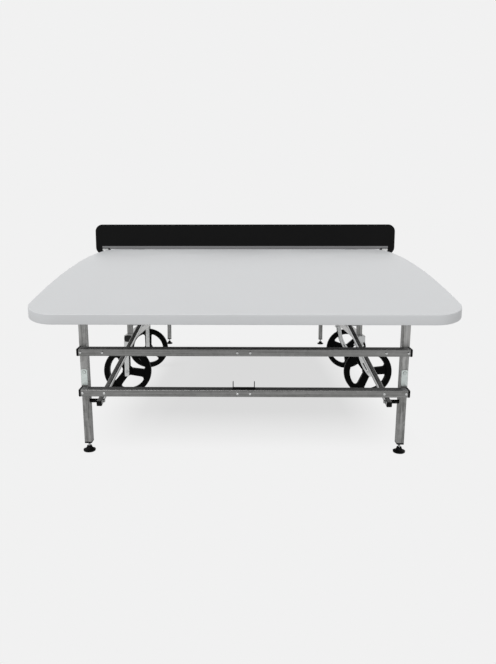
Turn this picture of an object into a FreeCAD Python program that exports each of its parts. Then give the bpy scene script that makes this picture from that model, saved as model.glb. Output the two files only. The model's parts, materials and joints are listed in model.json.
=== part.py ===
import FreeCAD, Part
import math
import os

# Folding ball-game table with an arched top and a wheeled middle carriage, in millimetres.
# X runs along the net, Y along the table and Z up, from the floor below the middle of the net.
# Shapes are drawn for the front half (-Y) and the right side (+X), and mirrored for the others.

# Arched top: one arc, highest at the net
TABLE_LENGTH = 3000.0
TABLE_WIDTH = 1500.0
HEIGHT_AT_NET = 760.0
END_DROP = 195.0
BOARD_SKIN = 14.0
RIM_DEPTH = 34.0
RIM_WIDTH = 22.0
OUTER_CORNER_RADIUS = 110.0
SEAM_CORNER_RADIUS = 20.0
EDGE_EASE = 3.0

# Steel runners and crossbars under each half
RUNNER_HEIGHT = 25.0
RUNNER_END_GAP = 30.0
CROSSBAR_DEPTH = 35.0
CROSSBAR_HEIGHT = 20.0
CROSSBAR_INSET = 160.0
TUBE_WALL = 2.5
TUBE_CORNER = 3.0

# Carriage: side beams, pivot posts, net posts and cross tubes
BEAM_INSET = 142.0
BEAM_WIDTH = 40.0
BEAM_HEIGHT = 35.0
BEAM_OVERHANG = 32.0
BEAM_PLUG_ROUND = 15.0
POST_Y = 345.0
POST_WIDTH = 27.0
POST_DEPTH = 30.0
NET_POST_SIZE = 30.0
NET_POST_DEPTH = 160.0
CROSS_TUBE_SIZE = 30.0
CROSS_TUBE_RISE = 36.0
CROSS_TUBE_DROP = 55.0

# Fold linkage: two equal and parallel cranks on each side of each half
FOLD_PIVOT_DEPTH = 70.0
BRACE_PIVOT_RISE = 57.5
LEG_INSET = 238.0
LEG_PIVOT_DEPTH = 103.0
FOLD_PIN_RADIUS = 6.0
LUG_THICKNESS = 6.0
LUG_RADIUS = 18.0
LUG_TOP_HALF_WIDTH = 36.0
PIN_HEAD_RADIUS = 9.0
PIN_HEAD_HEIGHT = 4.0

# Legs, their rails and fittings
LEG_OFFSET = 3.5
LEG_WIDTH = 27.5
LEG_DEPTH = 36.0
LEG_PIVOT_SETBACK = 10.0
LEG_TOP_MARGIN = 22.0
LEG_BOTTOM_Z = 45.0
LEG_CAP_THICKNESS = 6.0
LEG_PIN_RADIUS = 5.0
LEG_LUG_RADIUS = 12.0
RAIL_HEIGHT = 27.0
RAIL_DEPTH = 40.0
RAIL_OVERHANG = 1.0
LOWER_RAIL_RISE = 45.5
RAIL_PITCH = 155.0
CAP_THICKNESS = 4.0
CAP_SPIGOT = 12.0
CAP_ROUND = 2.0
BOLT_RADIUS = 3.5
BOLT_HEAD_RADIUS = 5.0
BOLT_HEAD_HEIGHT = 4.0
BOLT_PAIR_PITCH = 80.5
MIDDLE_BOLT_PITCH = 47.0
LEG_PLATE_WIDTH = 23.0
LEG_PLATE_HEIGHT = 61.0
LEG_PLATE_GAP = 7.0
LEG_PLATE_THICKNESS = 3.0
LEG_PLATE_ROUND = 5.0
PLATE_SCREW_RADIUS = 6.0
PLATE_SCREW_HEIGHT = 2.5
PLATE_SCREW_SOCKET = 2.8
STIRRUP_WIDTH = 82.0
STIRRUP_HEIGHT = 26.0
STIRRUP_DEPTH = 22.0
STIRRUP_THICKNESS = 3.0

# Braces between the posts and the legs
BRACE_OFFSET = 55.0
BRACE_WIDTH = 20.0
BRACE_DEPTH = 20.0
BRACE_HEAD = 14.0
BRACE_TAIL = 26.0
BRACE_BOLT_HEAD_RADIUS = 7.0
BRACE_BOLT_HEAD_HEIGHT = 5.5
SLEEVE_RADIUS = 7.5
SHOULDER_RADIUS = 10.0

# Levelling feet
FOOT_RADIUS = 23.2
FOOT_SOLE_RADIUS = 17.0
FOOT_EDGE_LOW = 5.0
FOOT_EDGE_HIGH = 9.0
FOOT_SHOULDER_RADIUS = 11.4
FOOT_SHOULDER_HEIGHT = 14.4
FOOT_NECK_RADIUS = 8.8
FOOT_HEIGHT = 24.0
FOOT_STEM_RADIUS = 5.0
FOOT_STEM_LENGTH = 73.0

# Wheels and forks
WHEEL_RADIUS = 125.0
RIM_INNER_RADIUS = 96.0
WHEEL_WIDTH = 36.0
WHEEL_SHOULDER = 9.0
WEB_WIDTH = 24.0
HUB_RADIUS = 25.0
SPOKE_COUNT = 3
SPOKE_HUB_WIDTH = 36.0
SPOKE_RIM_WIDTH = 42.0
SPOKE_TURN = {"front_left": -8.0, "front_right": 5.0, "rear_left": 90.0, "rear_right": 40.0}
WINDOW_ROUND = 12.0
AXLE_RADIUS = 6.0
AXLE_HEAD_RADIUS = 8.0
AXLE_HEAD_HEIGHT = 5.0
FORK_THICKNESS = 4.0
FORK_ARM_WIDTH = 23.0
FORK_ARM_TAIL = 26.0
FORK_END_ROUND = 5.0
FORK_SLOT_WIDTH = 5.0
FORK_SLOT_LENGTH = 42.0
FORK_INNER_HALF = 21.5
WHEEL_HEADROOM = 35.0
FIXED_FORK_OFFSET = 12.0
SWIVEL_OFFSET = 6.0
SWIVEL_TRAIL = 50.0
SOCKET_HEIGHT = 15.0
SOCKET_RADIUS = 22.0
STEM_RADIUS = 8.0
CROWN_HEIGHT = 7.0

# Net panel and its rail
NET_OVERHANG = 100.0
NET_RISE = 140.0
NET_DIP = 28.0
NET_THICKNESS = 20.0
NET_CORNER_RADIUS = 40.0
NET_LOBE_WIDTH = 38.0
NET_RAIL_GAP = 1.0
NET_RAIL_HEIGHT = 17.5
NET_RAIL_STEP = 7.5
NET_RAIL_DEPTH = 30.0
NET_GROOVE_DEPTH = 8.0
CLAMP_LENGTH = 34.0
CLAMP_HEIGHT = 11.0
CLAMP_ROUND = 3.0
BRACKET_FLANGE = 8.0
BRACKET_TOP = 4.0
TONGUE_THICKNESS = 8.0
TONGUE_WIDTH = 50.0
TONGUE_REACH = 24.0
TONGUE_SHOULDER = 10.0

# Clearances
RUN_FIT = 0.05
SIDE_GAP = 0.5
SEAT_GAP = 0.3
SWEEP_GAP = 2.0
THROUGH = 1.0

# Worked-out sizes
ARC_RADIUS = ((TABLE_LENGTH / 2) ** 2 + END_DROP ** 2) / (2 * END_DROP)
ARC_CENTRE_Z = HEIGHT_AT_NET - ARC_RADIUS
SWEEP_RADIUS = POST_Y - TONGUE_THICKNESS / 2 - SWEEP_GAP
SEAM_Y = POST_Y - math.sqrt(SWEEP_RADIUS ** 2 - FOLD_PIVOT_DEPTH ** 2)
INNER_CORNER = TUBE_CORNER - TUBE_WALL
SPIGOT_INSET = TUBE_WALL + SEAT_GAP
SPIGOT_CORNER = INNER_CORNER - SEAT_GAP
BEAM_X = TABLE_WIDTH / 2 - BEAM_INSET
BEAM_BOTTOM = 2 * WHEEL_RADIUS + WHEEL_HEADROOM
BEAM_TOP = BEAM_BOTTOM + BEAM_HEIGHT
POST_X = BEAM_X - BEAM_WIDTH / 2 + POST_WIDTH / 2
RUNNER_WIDTH = POST_WIDTH + 2 * SIDE_GAP
NET_POST_TOP = HEIGHT_AT_NET - NET_POST_DEPTH
CROSS_TUBE_LOW_Z = BEAM_TOP + CROSS_TUBE_RISE
CROSS_TUBE_HIGH_Z = NET_POST_TOP - CROSS_TUBE_DROP
FOLD_PIVOT_Z = HEIGHT_AT_NET - FOLD_PIVOT_DEPTH
BRACE_PIVOT_Z = BEAM_TOP + BRACE_PIVOT_RISE
LINK_DROP = FOLD_PIVOT_Z - BRACE_PIVOT_Z
LEG_X = POST_X - LEG_OFFSET
BRACE_X = LEG_X - BRACE_OFFSET
LEG_PIVOT_Y = TABLE_LENGTH / 2 - LEG_INSET
LEG_PIVOT_Z = ARC_CENTRE_Z + math.sqrt(ARC_RADIUS ** 2 - LEG_PIVOT_Y ** 2) - LEG_PIVOT_DEPTH
LOWER_RAIL_Z = LEG_PIVOT_Z - LINK_DROP + LOWER_RAIL_RISE
UPPER_RAIL_Z = LOWER_RAIL_Z + RAIL_PITCH
LEG_TILT = math.degrees(math.atan(2 * LEG_PIVOT_SETBACK / LINK_DROP))
LEG_FRONT = -LEG_PIVOT_SETBACK - LEG_DEPTH / 2
LEG_BACK = -LEG_PIVOT_SETBACK + LEG_DEPTH / 2
RAIL_HALF = LEG_X + LEG_WIDTH / 2 + RAIL_OVERHANG
HUB_HALF = FORK_INNER_HALF - SEAT_GAP
FORK_OUTER_HALF = FORK_INNER_HALF + FORK_THICKNESS
FIXED_FORK_X = BEAM_X + FIXED_FORK_OFFSET
SWIVEL_X = BEAM_X - SWIVEL_OFFSET
SWIVEL_AXLE_X = SWIVEL_X + SWIVEL_TRAIL
CROWN_TOP = BEAM_BOTTOM - SOCKET_HEIGHT - SEAT_GAP
NET_RAIL_BOTTOM = HEIGHT_AT_NET + NET_RAIL_GAP
NET_GROOVE_FLOOR = NET_RAIL_BOTTOM + NET_RAIL_HEIGHT - NET_GROOVE_DEPTH
NET_HALF = TABLE_WIDTH / 2 + NET_OVERHANG
NET_RAIL_HALF = NET_HALF - NET_LOBE_WIDTH
CLAMP_INNER_X = NET_RAIL_HALF - CLAMP_LENGTH
CLAMP_TOP = NET_RAIL_BOTTOM + NET_RAIL_STEP


# Plain helpers

def vec(x, y, z):
    return FreeCAD.Vector(x, y, z)


def box(x0, x1, y0, y1, z0, z1):
    return Part.makeBox(x1 - x0, y1 - y0, z1 - z0, vec(x0, y0, z0))


def rod_x(radius, x0, x1, y, z):
    return Part.makeCylinder(radius, x1 - x0, vec(x0, y, z), vec(1, 0, 0))


def rod_y(radius, y0, y1, x, z):
    return Part.makeCylinder(radius, y1 - y0, vec(x, y0, z), vec(0, 1, 0))


def rod_z(radius, z0, z1, x, y):
    return Part.makeCylinder(radius, z1 - z0, vec(x, y, z0), vec(0, 0, 1))


def hex_y(radius, y0, y1, x, z):
    """Six-sided bolt head or nut, its axis along Y."""
    corners = []
    for index in range(7):
        angle = math.radians(60 * index)
        corners.append(vec(x + radius * math.cos(angle), y0, z + radius * math.sin(angle)))
    return Part.Face(Part.makePolygon(corners)).extrude(vec(0, y1 - y0, 0))


def plate_yz(points, x0, x1):
    """Flat plate with a polygon outline in the YZ plane."""
    corners = [vec(x0, y, z) for y, z in points]
    return Part.Face(Part.makePolygon(corners + corners[:1])).extrude(vec(x1 - x0, 0, 0))


def mirror_x(shape):
    return shape.mirror(vec(0, 0, 0), vec(1, 0, 0))


def mirror_y(shape):
    return shape.mirror(vec(0, 0, 0), vec(0, 1, 0))


def both_sides(shape):
    """The right-hand piece and its left-hand mirror, as separate solids."""
    return [shape, mirror_x(shape)]


def edges_along(shape, axis, keep):
    """Straight edges along one axis whose middle point passes the test."""
    found = []
    for edge in shape.Edges:
        start = edge.Vertexes[0].Point
        finish = edge.Vertexes[-1].Point
        run = finish.sub(start)
        if run.Length > 0 and abs(abs(run.normalize().dot(axis)) - 1) < 1e-6:
            if keep(edge.CenterOfMass):
                found.append(edge)
    return found


def face_towards(shape, direction):
    """The face that lies furthest in a direction."""
    return max(shape.Faces, key=lambda face: face.CenterOfMass.dot(direction))


def rounded_bar(x0, x1, y0, y1, z0, z1, axis, radius):
    """Bar with its four edges along the axis X, Y or Z rounded."""
    bar = box(x0, x1, y0, y1, z0, z1)
    way = {"X": vec(1, 0, 0), "Y": vec(0, 1, 0), "Z": vec(0, 0, 1)}[axis]
    return bar.makeFillet(radius, edges_along(bar, way, lambda point: True))


def hollow_box(x0, x1, y0, y1, z0, z1, axis):
    """Square tube with rounded corners, open at both ends of the axis X, Y or Z."""
    inner = []
    for name, low, high in (("X", x0, x1), ("Y", y0, y1), ("Z", z0, z1)):
        step = -THROUGH if name == axis else TUBE_WALL
        inner += [low + step, high - step]
    outer = rounded_bar(x0, x1, y0, y1, z0, z1, axis, TUBE_CORNER)
    return outer.cut(rounded_bar(*inner, axis, INNER_CORNER))


# Arched top

def surface_z(y, depth=0.0):
    """Height of the arch at y, or of the parallel arc that lies depth below it."""
    return ARC_CENTRE_Z + math.sqrt((ARC_RADIUS - depth) ** 2 - y ** 2)


def arched_bar(x0, x1, y0, y1, depth0, depth1):
    """Bar between two arcs parallel to the playing surface."""
    middle = (y0 + y1) / 2

    def arc(depth):
        ends = [vec(x0, y, surface_z(y, depth)) for y in (y0, middle, y1)]
        return Part.Arc(*ends).toShape()

    upper = arc(depth0)
    lower = arc(depth1)
    start = Part.makeLine(vec(x0, y0, surface_z(y0, depth0)), vec(x0, y0, surface_z(y0, depth1)))
    finish = Part.makeLine(vec(x0, y1, surface_z(y1, depth0)), vec(x0, y1, surface_z(y1, depth1)))
    outline = Part.Wire(Part.__sortEdges__([upper, finish, lower, start]))
    return Part.Face(outline).extrude(vec(x1 - x0, 0, 0))


def arched_layer(depth0, depth1):
    """Arched layer a little larger than one half on every side."""
    half = TABLE_WIDTH / 2 + RIM_WIDTH
    return arched_bar(-half, half, -TABLE_LENGTH / 2 - RIM_WIDTH, RIM_WIDTH, depth0, depth1)


def plan_block(inset):
    """Upright block with the rounded plan of one half, drawn in by the inset."""
    half = TABLE_WIDTH / 2 - inset
    outer_y = -TABLE_LENGTH / 2 + inset
    seam_y = -SEAM_Y - inset
    block = box(-half, half, outer_y, seam_y, 0, HEIGHT_AT_NET + RIM_DEPTH)
    upright = vec(0, 0, 1)
    middle_y = (outer_y + seam_y) / 2
    outer_edges = edges_along(block, upright, lambda point: point.y < middle_y)
    block = block.makeFillet(max(OUTER_CORNER_RADIUS - inset, EDGE_EASE), outer_edges)
    seam_edges = edges_along(block, upright, lambda point: point.y > seam_y - EDGE_EASE / 2)
    return block.makeFillet(max(SEAM_CORNER_RADIUS - inset, EDGE_EASE), seam_edges)


def board():
    """Moulded arched board: a skin with a deeper rim all round and an eased upper edge."""
    outer = arched_layer(0, RIM_DEPTH).common(plan_block(0))
    hollow = arched_layer(BOARD_SKIN, RIM_DEPTH + RIM_WIDTH).common(plan_block(RIM_WIDTH))
    shell = outer.cut(hollow).Solids[0]
    crown = max(shell.Faces, key=lambda face: face.Area)
    return shell.makeChamfer(EDGE_EASE, crown.OuterWire.Edges)


def hinge_lug(x0, x1):
    """Side plate of a runner that hangs down to the fold pivot."""
    top = surface_z(POST_Y, BOARD_SKIN) - TUBE_WALL * 2
    outline = [(-POST_Y - LUG_TOP_HALF_WIDTH, top), (-POST_Y + LUG_TOP_HALF_WIDTH, top)]
    outline += [(-POST_Y + LUG_RADIUS, FOLD_PIVOT_Z), (-POST_Y - LUG_RADIUS, FOLD_PIVOT_Z)]
    plate = plate_yz(outline, x0, x1).fuse(rod_x(LUG_RADIUS, x0, x1, -POST_Y, FOLD_PIVOT_Z))
    bore = rod_x(FOLD_PIN_RADIUS + RUN_FIT, x0 - THROUGH, x1 + THROUGH, -POST_Y, FOLD_PIVOT_Z)
    return plate.cut(bore).removeSplitter()


def leg_lug():
    """Thick tongue below a runner that enters the leg, with the leg's hinge pin."""
    half = LEG_WIDTH / 2 - TUBE_WALL - SIDE_GAP
    top = surface_z(LEG_PIVOT_Y, BOARD_SKIN)
    outline = [(-LEG_PIVOT_Y - LEG_DEPTH / 2, top), (-LEG_PIVOT_Y + LEG_DEPTH / 2, top)]
    outline += [(-LEG_PIVOT_Y + LEG_LUG_RADIUS, LEG_PIVOT_Z), (-LEG_PIVOT_Y - LEG_LUG_RADIUS, LEG_PIVOT_Z)]
    tongue = plate_yz(outline, LEG_X - half, LEG_X + half)
    tongue = tongue.fuse(rod_x(LEG_LUG_RADIUS, LEG_X - half, LEG_X + half, -LEG_PIVOT_Y, LEG_PIVOT_Z))
    above = BOARD_SKIN + RUNNER_HEIGHT - TUBE_WALL / 2
    tongue = tongue.cut(arched_layer(0, above))
    pin = rod_x(LEG_PIN_RADIUS, LEG_X - LEG_WIDTH / 2, LEG_X + LEG_WIDTH / 2, -LEG_PIVOT_Y, LEG_PIVOT_Z)
    return tongue.fuse(pin)


def runner():
    """Arched steel tube under the board with its welded hinge lugs and leg tongue."""
    x0 = POST_X - RUNNER_WIDTH / 2
    x1 = POST_X + RUNNER_WIDTH / 2
    y0 = -TABLE_LENGTH / 2 + RIM_WIDTH + RUNNER_END_GAP
    y1 = -SEAM_Y - RIM_WIDTH - RUNNER_END_GAP
    tube = arched_bar(x0, x1, y0, y1, BOARD_SKIN, BOARD_SKIN + RUNNER_HEIGHT)
    inner_top = BOARD_SKIN + TUBE_WALL
    inner_low = BOARD_SKIN + RUNNER_HEIGHT - TUBE_WALL
    bore = arched_bar(x0 + TUBE_WALL, x1 - TUBE_WALL, y0 - THROUGH, y1 + THROUGH, inner_top, inner_low)
    lugs = [hinge_lug(x0 - LUG_THICKNESS, x0), hinge_lug(x1, x1 + LUG_THICKNESS)]
    return tube.cut(bore).fuse(lugs + [leg_lug()]).Solids[0]


def crossbars():
    """Two square tubes across the underside, between the runners of one half."""
    half = POST_X - RUNNER_WIDTH / 2
    outer_y = -TABLE_LENGTH / 2 + CROSSBAR_INSET
    inner_y = -(POST_Y + LEG_PIVOT_Y) / 2
    bars = []
    for y in (outer_y, inner_y):
        y0 = y - CROSSBAR_DEPTH / 2
        y1 = y + CROSSBAR_DEPTH / 2
        bar = arched_bar(-half, half, y0, y1, BOARD_SKIN, BOARD_SKIN + CROSSBAR_HEIGHT)
        low = BOARD_SKIN + CROSSBAR_HEIGHT - TUBE_WALL
        bore = arched_bar(-half - THROUGH, half + THROUGH, y0 + TUBE_WALL, y1 - TUBE_WALL,
                          BOARD_SKIN + TUBE_WALL, low)
        bars.append(bar.cut(bore))
    return bars


# Carriage

def side_beam():
    """Square tube along one side of the carriage, open at its ends."""
    half = POST_Y + BEAM_OVERHANG
    x0 = BEAM_X - BEAM_WIDTH / 2
    x1 = BEAM_X + BEAM_WIDTH / 2
    return hollow_box(x0, x1, -half, half, BEAM_BOTTOM, BEAM_TOP, "Y")


def beam_cap():
    """Black plug in the front end of a side beam."""
    face_y = -POST_Y - BEAM_OVERHANG
    x0 = BEAM_X - BEAM_WIDTH / 2
    x1 = BEAM_X + BEAM_WIDTH / 2
    corner = min(BEAM_PLUG_ROUND, BEAM_HEIGHT / 2 - CAP_ROUND)
    plate = rounded_bar(x0, x1, face_y - CAP_THICKNESS, face_y, BEAM_BOTTOM, BEAM_TOP, "Y", corner)
    plate = plate.makeFillet(CAP_ROUND, face_towards(plate, vec(0, -1, 0)).Edges)
    spigot = rounded_bar(x0 + SPIGOT_INSET, x1 - SPIGOT_INSET, face_y, face_y + CAP_SPIGOT,
                         BEAM_BOTTOM + SPIGOT_INSET, BEAM_TOP - SPIGOT_INSET, "Y", SPIGOT_CORNER)
    return plate.fuse(spigot)


def beside_post(edge, x0, x1):
    """Whether an edge lies in a side face of a post, above its foot."""
    box_of_edge = edge.BoundBox
    flat = box_of_edge.XLength < THROUGH / 2
    at_side = min(abs(box_of_edge.XMin - x0), abs(box_of_edge.XMax - x1)) < THROUGH / 2
    return flat and at_side and box_of_edge.ZMax > BEAM_TOP + THROUGH


def pivot_post():
    """Upright tube with a rounded head that carries the fold pivot and the brace pivot."""
    x0 = POST_X - POST_WIDTH / 2
    x1 = POST_X + POST_WIDTH / 2
    y0 = -POST_Y - POST_DEPTH / 2
    y1 = -POST_Y + POST_DEPTH / 2
    shell = box(x0, x1, y0, y1, BEAM_TOP, FOLD_PIVOT_Z)
    shell = shell.fuse(rod_x(POST_DEPTH / 2, x0, x1, -POST_Y, FOLD_PIVOT_Z)).removeSplitter()
    side_edges = [edge for edge in shell.Edges if beside_post(edge, x0, x1)]
    shell = shell.makeFillet(TUBE_CORNER, side_edges)
    hollow = rounded_bar(x0 + TUBE_WALL, x1 - TUBE_WALL, y0 + TUBE_WALL, y1 - TUBE_WALL,
                         BEAM_TOP - THROUGH, FOLD_PIVOT_Z, "Z", INNER_CORNER)
    shell = shell.cut(hollow)
    reach = FOLD_PIN_RADIUS + RUN_FIT
    shell = shell.cut(rod_x(reach, x0 - THROUGH, x1 + THROUGH, -POST_Y, FOLD_PIVOT_Z))
    return shell.cut(rod_x(reach, x0 - THROUGH, POST_X, -POST_Y, BRACE_PIVOT_Z))


def fold_pin():
    """Pin through a post head and both hinge lugs, with a head at each end."""
    reach = RUNNER_WIDTH / 2 + LUG_THICKNESS + SEAT_GAP
    pin = rod_x(FOLD_PIN_RADIUS, POST_X - reach, POST_X + reach, -POST_Y, FOLD_PIVOT_Z)
    inner = rod_x(PIN_HEAD_RADIUS, POST_X - reach - PIN_HEAD_HEIGHT, POST_X - reach, -POST_Y, FOLD_PIVOT_Z)
    outer = rod_x(PIN_HEAD_RADIUS, POST_X + reach, POST_X + reach + PIN_HEAD_HEIGHT, -POST_Y, FOLD_PIVOT_Z)
    return pin.fuse([inner, outer])


def brace_pin():
    """Stepped pin from a post's inner face: shoulder, journal for the brace, and head."""
    post_face = POST_X - POST_WIDTH / 2
    shoulder_end = BRACE_X + BRACE_WIDTH / 2 + SEAT_GAP
    head_start = BRACE_X - BRACE_WIDTH / 2 - SEAT_GAP
    journal = rod_x(FOLD_PIN_RADIUS, head_start, post_face + TUBE_WALL, -POST_Y, BRACE_PIVOT_Z)
    shoulder = rod_x(SHOULDER_RADIUS, shoulder_end, post_face, -POST_Y, BRACE_PIVOT_Z)
    head = rod_x(PIN_HEAD_RADIUS, head_start - PIN_HEAD_HEIGHT, head_start, -POST_Y, BRACE_PIVOT_Z)
    return journal.fuse([shoulder, head])


def net_post():
    """Tube in the middle of a side beam, with a flat tongue that rises through the seam."""
    half = NET_POST_SIZE / 2
    tube = hollow_box(BEAM_X - half, BEAM_X + half, -half, half, BEAM_TOP, NET_POST_TOP, "Z")
    lid_top = NET_POST_TOP + TUBE_WALL
    lid = rounded_bar(BEAM_X - half, BEAM_X + half, -half, half, NET_POST_TOP, lid_top, "Z", TUBE_CORNER)
    thick = TONGUE_THICKNESS / 2
    wide = TONGUE_WIDTH / 2
    seat = NET_RAIL_BOTTOM - SEAT_GAP
    blade = box(BEAM_X - wide, BEAM_X + wide, -thick, thick, lid_top, seat + TONGUE_REACH)
    broad = wide + TONGUE_SHOULDER
    collar = box(BEAM_X - broad, BEAM_X + broad, -thick, thick, lid_top, seat)
    return tube.fuse([lid, blade, collar]).removeSplitter()


def cross_tubes():
    """Two square tubes that join the left and right net posts."""
    reach = BEAM_X - NET_POST_SIZE / 2
    half = CROSS_TUBE_SIZE / 2
    tubes = []
    for z in (CROSS_TUBE_LOW_Z, CROSS_TUBE_HIGH_Z):
        tubes.append(hollow_box(-reach, reach, -half, half, z - half, z + half, "X"))
    return tubes


# Wheels and forks

def wheel(x, y, turn):
    """Moulded wheel: revolved rim and hub, and a web with rounded windows; the first spoke is at the turn."""
    half = WHEEL_WIDTH / 2
    middle = vec(x, y, WHEEL_RADIUS)
    rim = rod_y(WHEEL_RADIUS, y - half, y + half, x, WHEEL_RADIUS)
    rim = rim.makeFillet(WHEEL_SHOULDER, [edge for edge in rim.Edges if edge.Closed])
    rim = rim.cut(rod_y(RIM_INNER_RADIUS, y - half, y + half, x, WHEEL_RADIUS))
    web_half = WEB_WIDTH / 2
    window = rod_y(RIM_INNER_RADIUS, y - web_half, y + web_half, x, WHEEL_RADIUS)
    web = rod_y(RIM_INNER_RADIUS, y - web_half, y + web_half, x, WHEEL_RADIUS)
    window = window.cut(rod_y(HUB_RADIUS, y - web_half, y + web_half, x, WHEEL_RADIUS))
    root = SPOKE_HUB_WIDTH / 2
    tip = SPOKE_RIM_WIDTH / 2
    corners = [vec(x, y - web_half, WHEEL_RADIUS - root), vec(x, y - web_half, WHEEL_RADIUS + root)]
    corners.append(vec(x + WHEEL_RADIUS, y - web_half, WHEEL_RADIUS + tip))
    corners.append(vec(x + WHEEL_RADIUS, y - web_half, WHEEL_RADIUS - tip))
    spoke = Part.Face(Part.makePolygon(corners + corners[:1])).extrude(vec(0, WEB_WIDTH, 0))
    for index in range(SPOKE_COUNT):
        arm = spoke.copy()
        arm.rotate(middle, vec(0, -1, 0), turn + 360.0 / SPOKE_COUNT * index)
        window = window.cut(arm)
    for opening in window.Solids:
        rounds = edges_along(opening, vec(0, 1, 0), lambda point: True)
        web = web.cut(opening.makeFillet(WINDOW_ROUND, rounds))
    hub = rod_y(HUB_RADIUS, y - HUB_HALF, y + HUB_HALF, x, WHEEL_RADIUS)
    body = rim.fuse([web, hub])
    bore = rod_y(AXLE_RADIUS + RUN_FIT, y - WHEEL_WIDTH, y + WHEEL_WIDTH, x, WHEEL_RADIUS)
    return body.cut(bore).removeSplitter()


def axle(x, y):
    """Axle bolt through both fork arms, with a head and a nut."""
    rod = rod_y(AXLE_RADIUS, y - FORK_OUTER_HALF, y + FORK_OUTER_HALF, x, WHEEL_RADIUS)
    head_y = y - FORK_OUTER_HALF - AXLE_HEAD_HEIGHT
    nut_y = y + FORK_OUTER_HALF + AXLE_HEAD_HEIGHT
    head = hex_y(AXLE_HEAD_RADIUS, head_y, y - FORK_OUTER_HALF, x, WHEEL_RADIUS)
    nut = hex_y(AXLE_HEAD_RADIUS, y + FORK_OUTER_HALF, nut_y, x, WHEEL_RADIUS)
    return rod.fuse([head, nut])


def bored_arms(arm, x, y):
    """One fork arm copied to both sides of the wheel, with the axle bore."""
    arms = []
    for start in (y - FORK_OUTER_HALF, y + FORK_INNER_HALF):
        side = arm.copy()
        side.translate(vec(0, start, 0))
        finish = start + FORK_THICKNESS
        bore = rod_y(AXLE_RADIUS + RUN_FIT, start - THROUGH, finish + THROUGH, x, WHEEL_RADIUS)
        arms.append(side.cut(bore))
    return arms


def fixed_fork(y):
    """Straight fork bolted flat under the left side beam."""
    x = -FIXED_FORK_X
    half = FORK_ARM_WIDTH / 2
    arm = box(x - half, x + half, 0, FORK_THICKNESS, WHEEL_RADIUS - FORK_ARM_TAIL, BEAM_BOTTOM)
    lower = edges_along(arm, vec(0, 1, 0), lambda point: point.z < WHEEL_RADIUS)
    arm = arm.makeFillet(FORK_END_ROUND, lower)
    crown = box(x - half, x + half, y - FORK_INNER_HALF, y + FORK_INNER_HALF,
                BEAM_BOTTOM - CROWN_HEIGHT, BEAM_BOTTOM)
    return crown.fuse(bored_arms(arm, x, y)).removeSplitter()


def curved_band(radius, width, start, finish):
    """Flat band along the arc that the curved arms follow, between two angles below the crown."""
    half = width / 2
    middle = (start + finish) / 2

    def point(distance, angle):
        return vec(SWIVEL_X + radius - distance * math.cos(angle), 0, CROWN_TOP - distance * math.sin(angle))

    inner = Part.Arc(*[point(radius - half, angle) for angle in (start, middle, finish)]).toShape()
    outer = Part.Arc(*[point(radius + half, angle) for angle in (start, middle, finish)]).toShape()
    top = Part.makeLine(point(radius - half, start), point(radius + half, start))
    foot = Part.makeLine(point(radius - half, finish), point(radius + half, finish))
    outline = Part.Wire(Part.__sortEdges__([top, outer, foot, inner]))
    return Part.Face(outline).extrude(vec(0, FORK_THICKNESS, 0))


def swivel_arm():
    """Curved arm that leaves the crown straight down and ends past the axle, with a slot above the axle."""
    fall = CROWN_TOP - WHEEL_RADIUS
    radius = (SWIVEL_TRAIL ** 2 + fall ** 2) / (2 * SWIVEL_TRAIL)
    at_axle = math.asin(fall / radius)
    arm = curved_band(radius, FORK_ARM_WIDTH, 0, at_axle + FORK_ARM_TAIL / radius)
    lower = edges_along(arm, vec(0, 1, 0), lambda centre: centre.z < WHEEL_RADIUS)
    arm = arm.makeFillet(FORK_END_ROUND, lower)
    slot_end = at_axle - 2 * AXLE_HEAD_RADIUS / radius
    return arm.cut(curved_band(radius, FORK_SLOT_WIDTH, slot_end - FORK_SLOT_LENGTH / radius, slot_end))


def swivel_fork(y):
    """Swivel fork with curved arms, a crown plate and a stem that turns in its socket."""
    arm = swivel_arm()
    crown = box(SWIVEL_X - SOCKET_RADIUS, SWIVEL_X + SOCKET_RADIUS, y - FORK_OUTER_HALF, y + FORK_OUTER_HALF,
                CROWN_TOP - CROWN_HEIGHT, CROWN_TOP)
    stem = rod_z(STEM_RADIUS, CROWN_TOP, BEAM_BOTTOM - SEAT_GAP, SWIVEL_X, y)
    return crown.fuse(bored_arms(arm, SWIVEL_AXLE_X, y) + [stem]).removeSplitter()


def swivel_socket(y):
    """Bearing ring under the right side beam for a swivel stem."""
    ring = rod_z(SOCKET_RADIUS, BEAM_BOTTOM - SOCKET_HEIGHT, BEAM_BOTTOM, SWIVEL_X, y)
    bore = rod_z(STEM_RADIUS + RUN_FIT, BEAM_BOTTOM - SOCKET_HEIGHT, BEAM_BOTTOM, SWIVEL_X, y)
    return ring.cut(bore)


# Legs: drawn upright with the leg's hinge at the origin, then leaned and moved to it

def lean(shape):
    placed = shape.copy()
    placed.rotate(vec(0, 0, 0), vec(1, 0, 0), LEG_TILT)
    placed.translate(vec(0, -LEG_PIVOT_Y, LEG_PIVOT_Z))
    return placed


def along_leg(z):
    """Distance up the leg from its hinge for a height above the floor."""
    return (z - LEG_PIVOT_Z) / math.cos(math.radians(LEG_TILT))


def bolt_places():
    """Bolt positions on each rail as (x, whether it goes into a leg), right side only."""
    return [(LEG_X, True), (LEG_X - BOLT_PAIR_PITCH, False), (MIDDLE_BOLT_PITCH / 2, False)]


def bolt_bore(x, z, y0, y1):
    return rod_y(BOLT_RADIUS + RUN_FIT, y0, y1, x, z)


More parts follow.
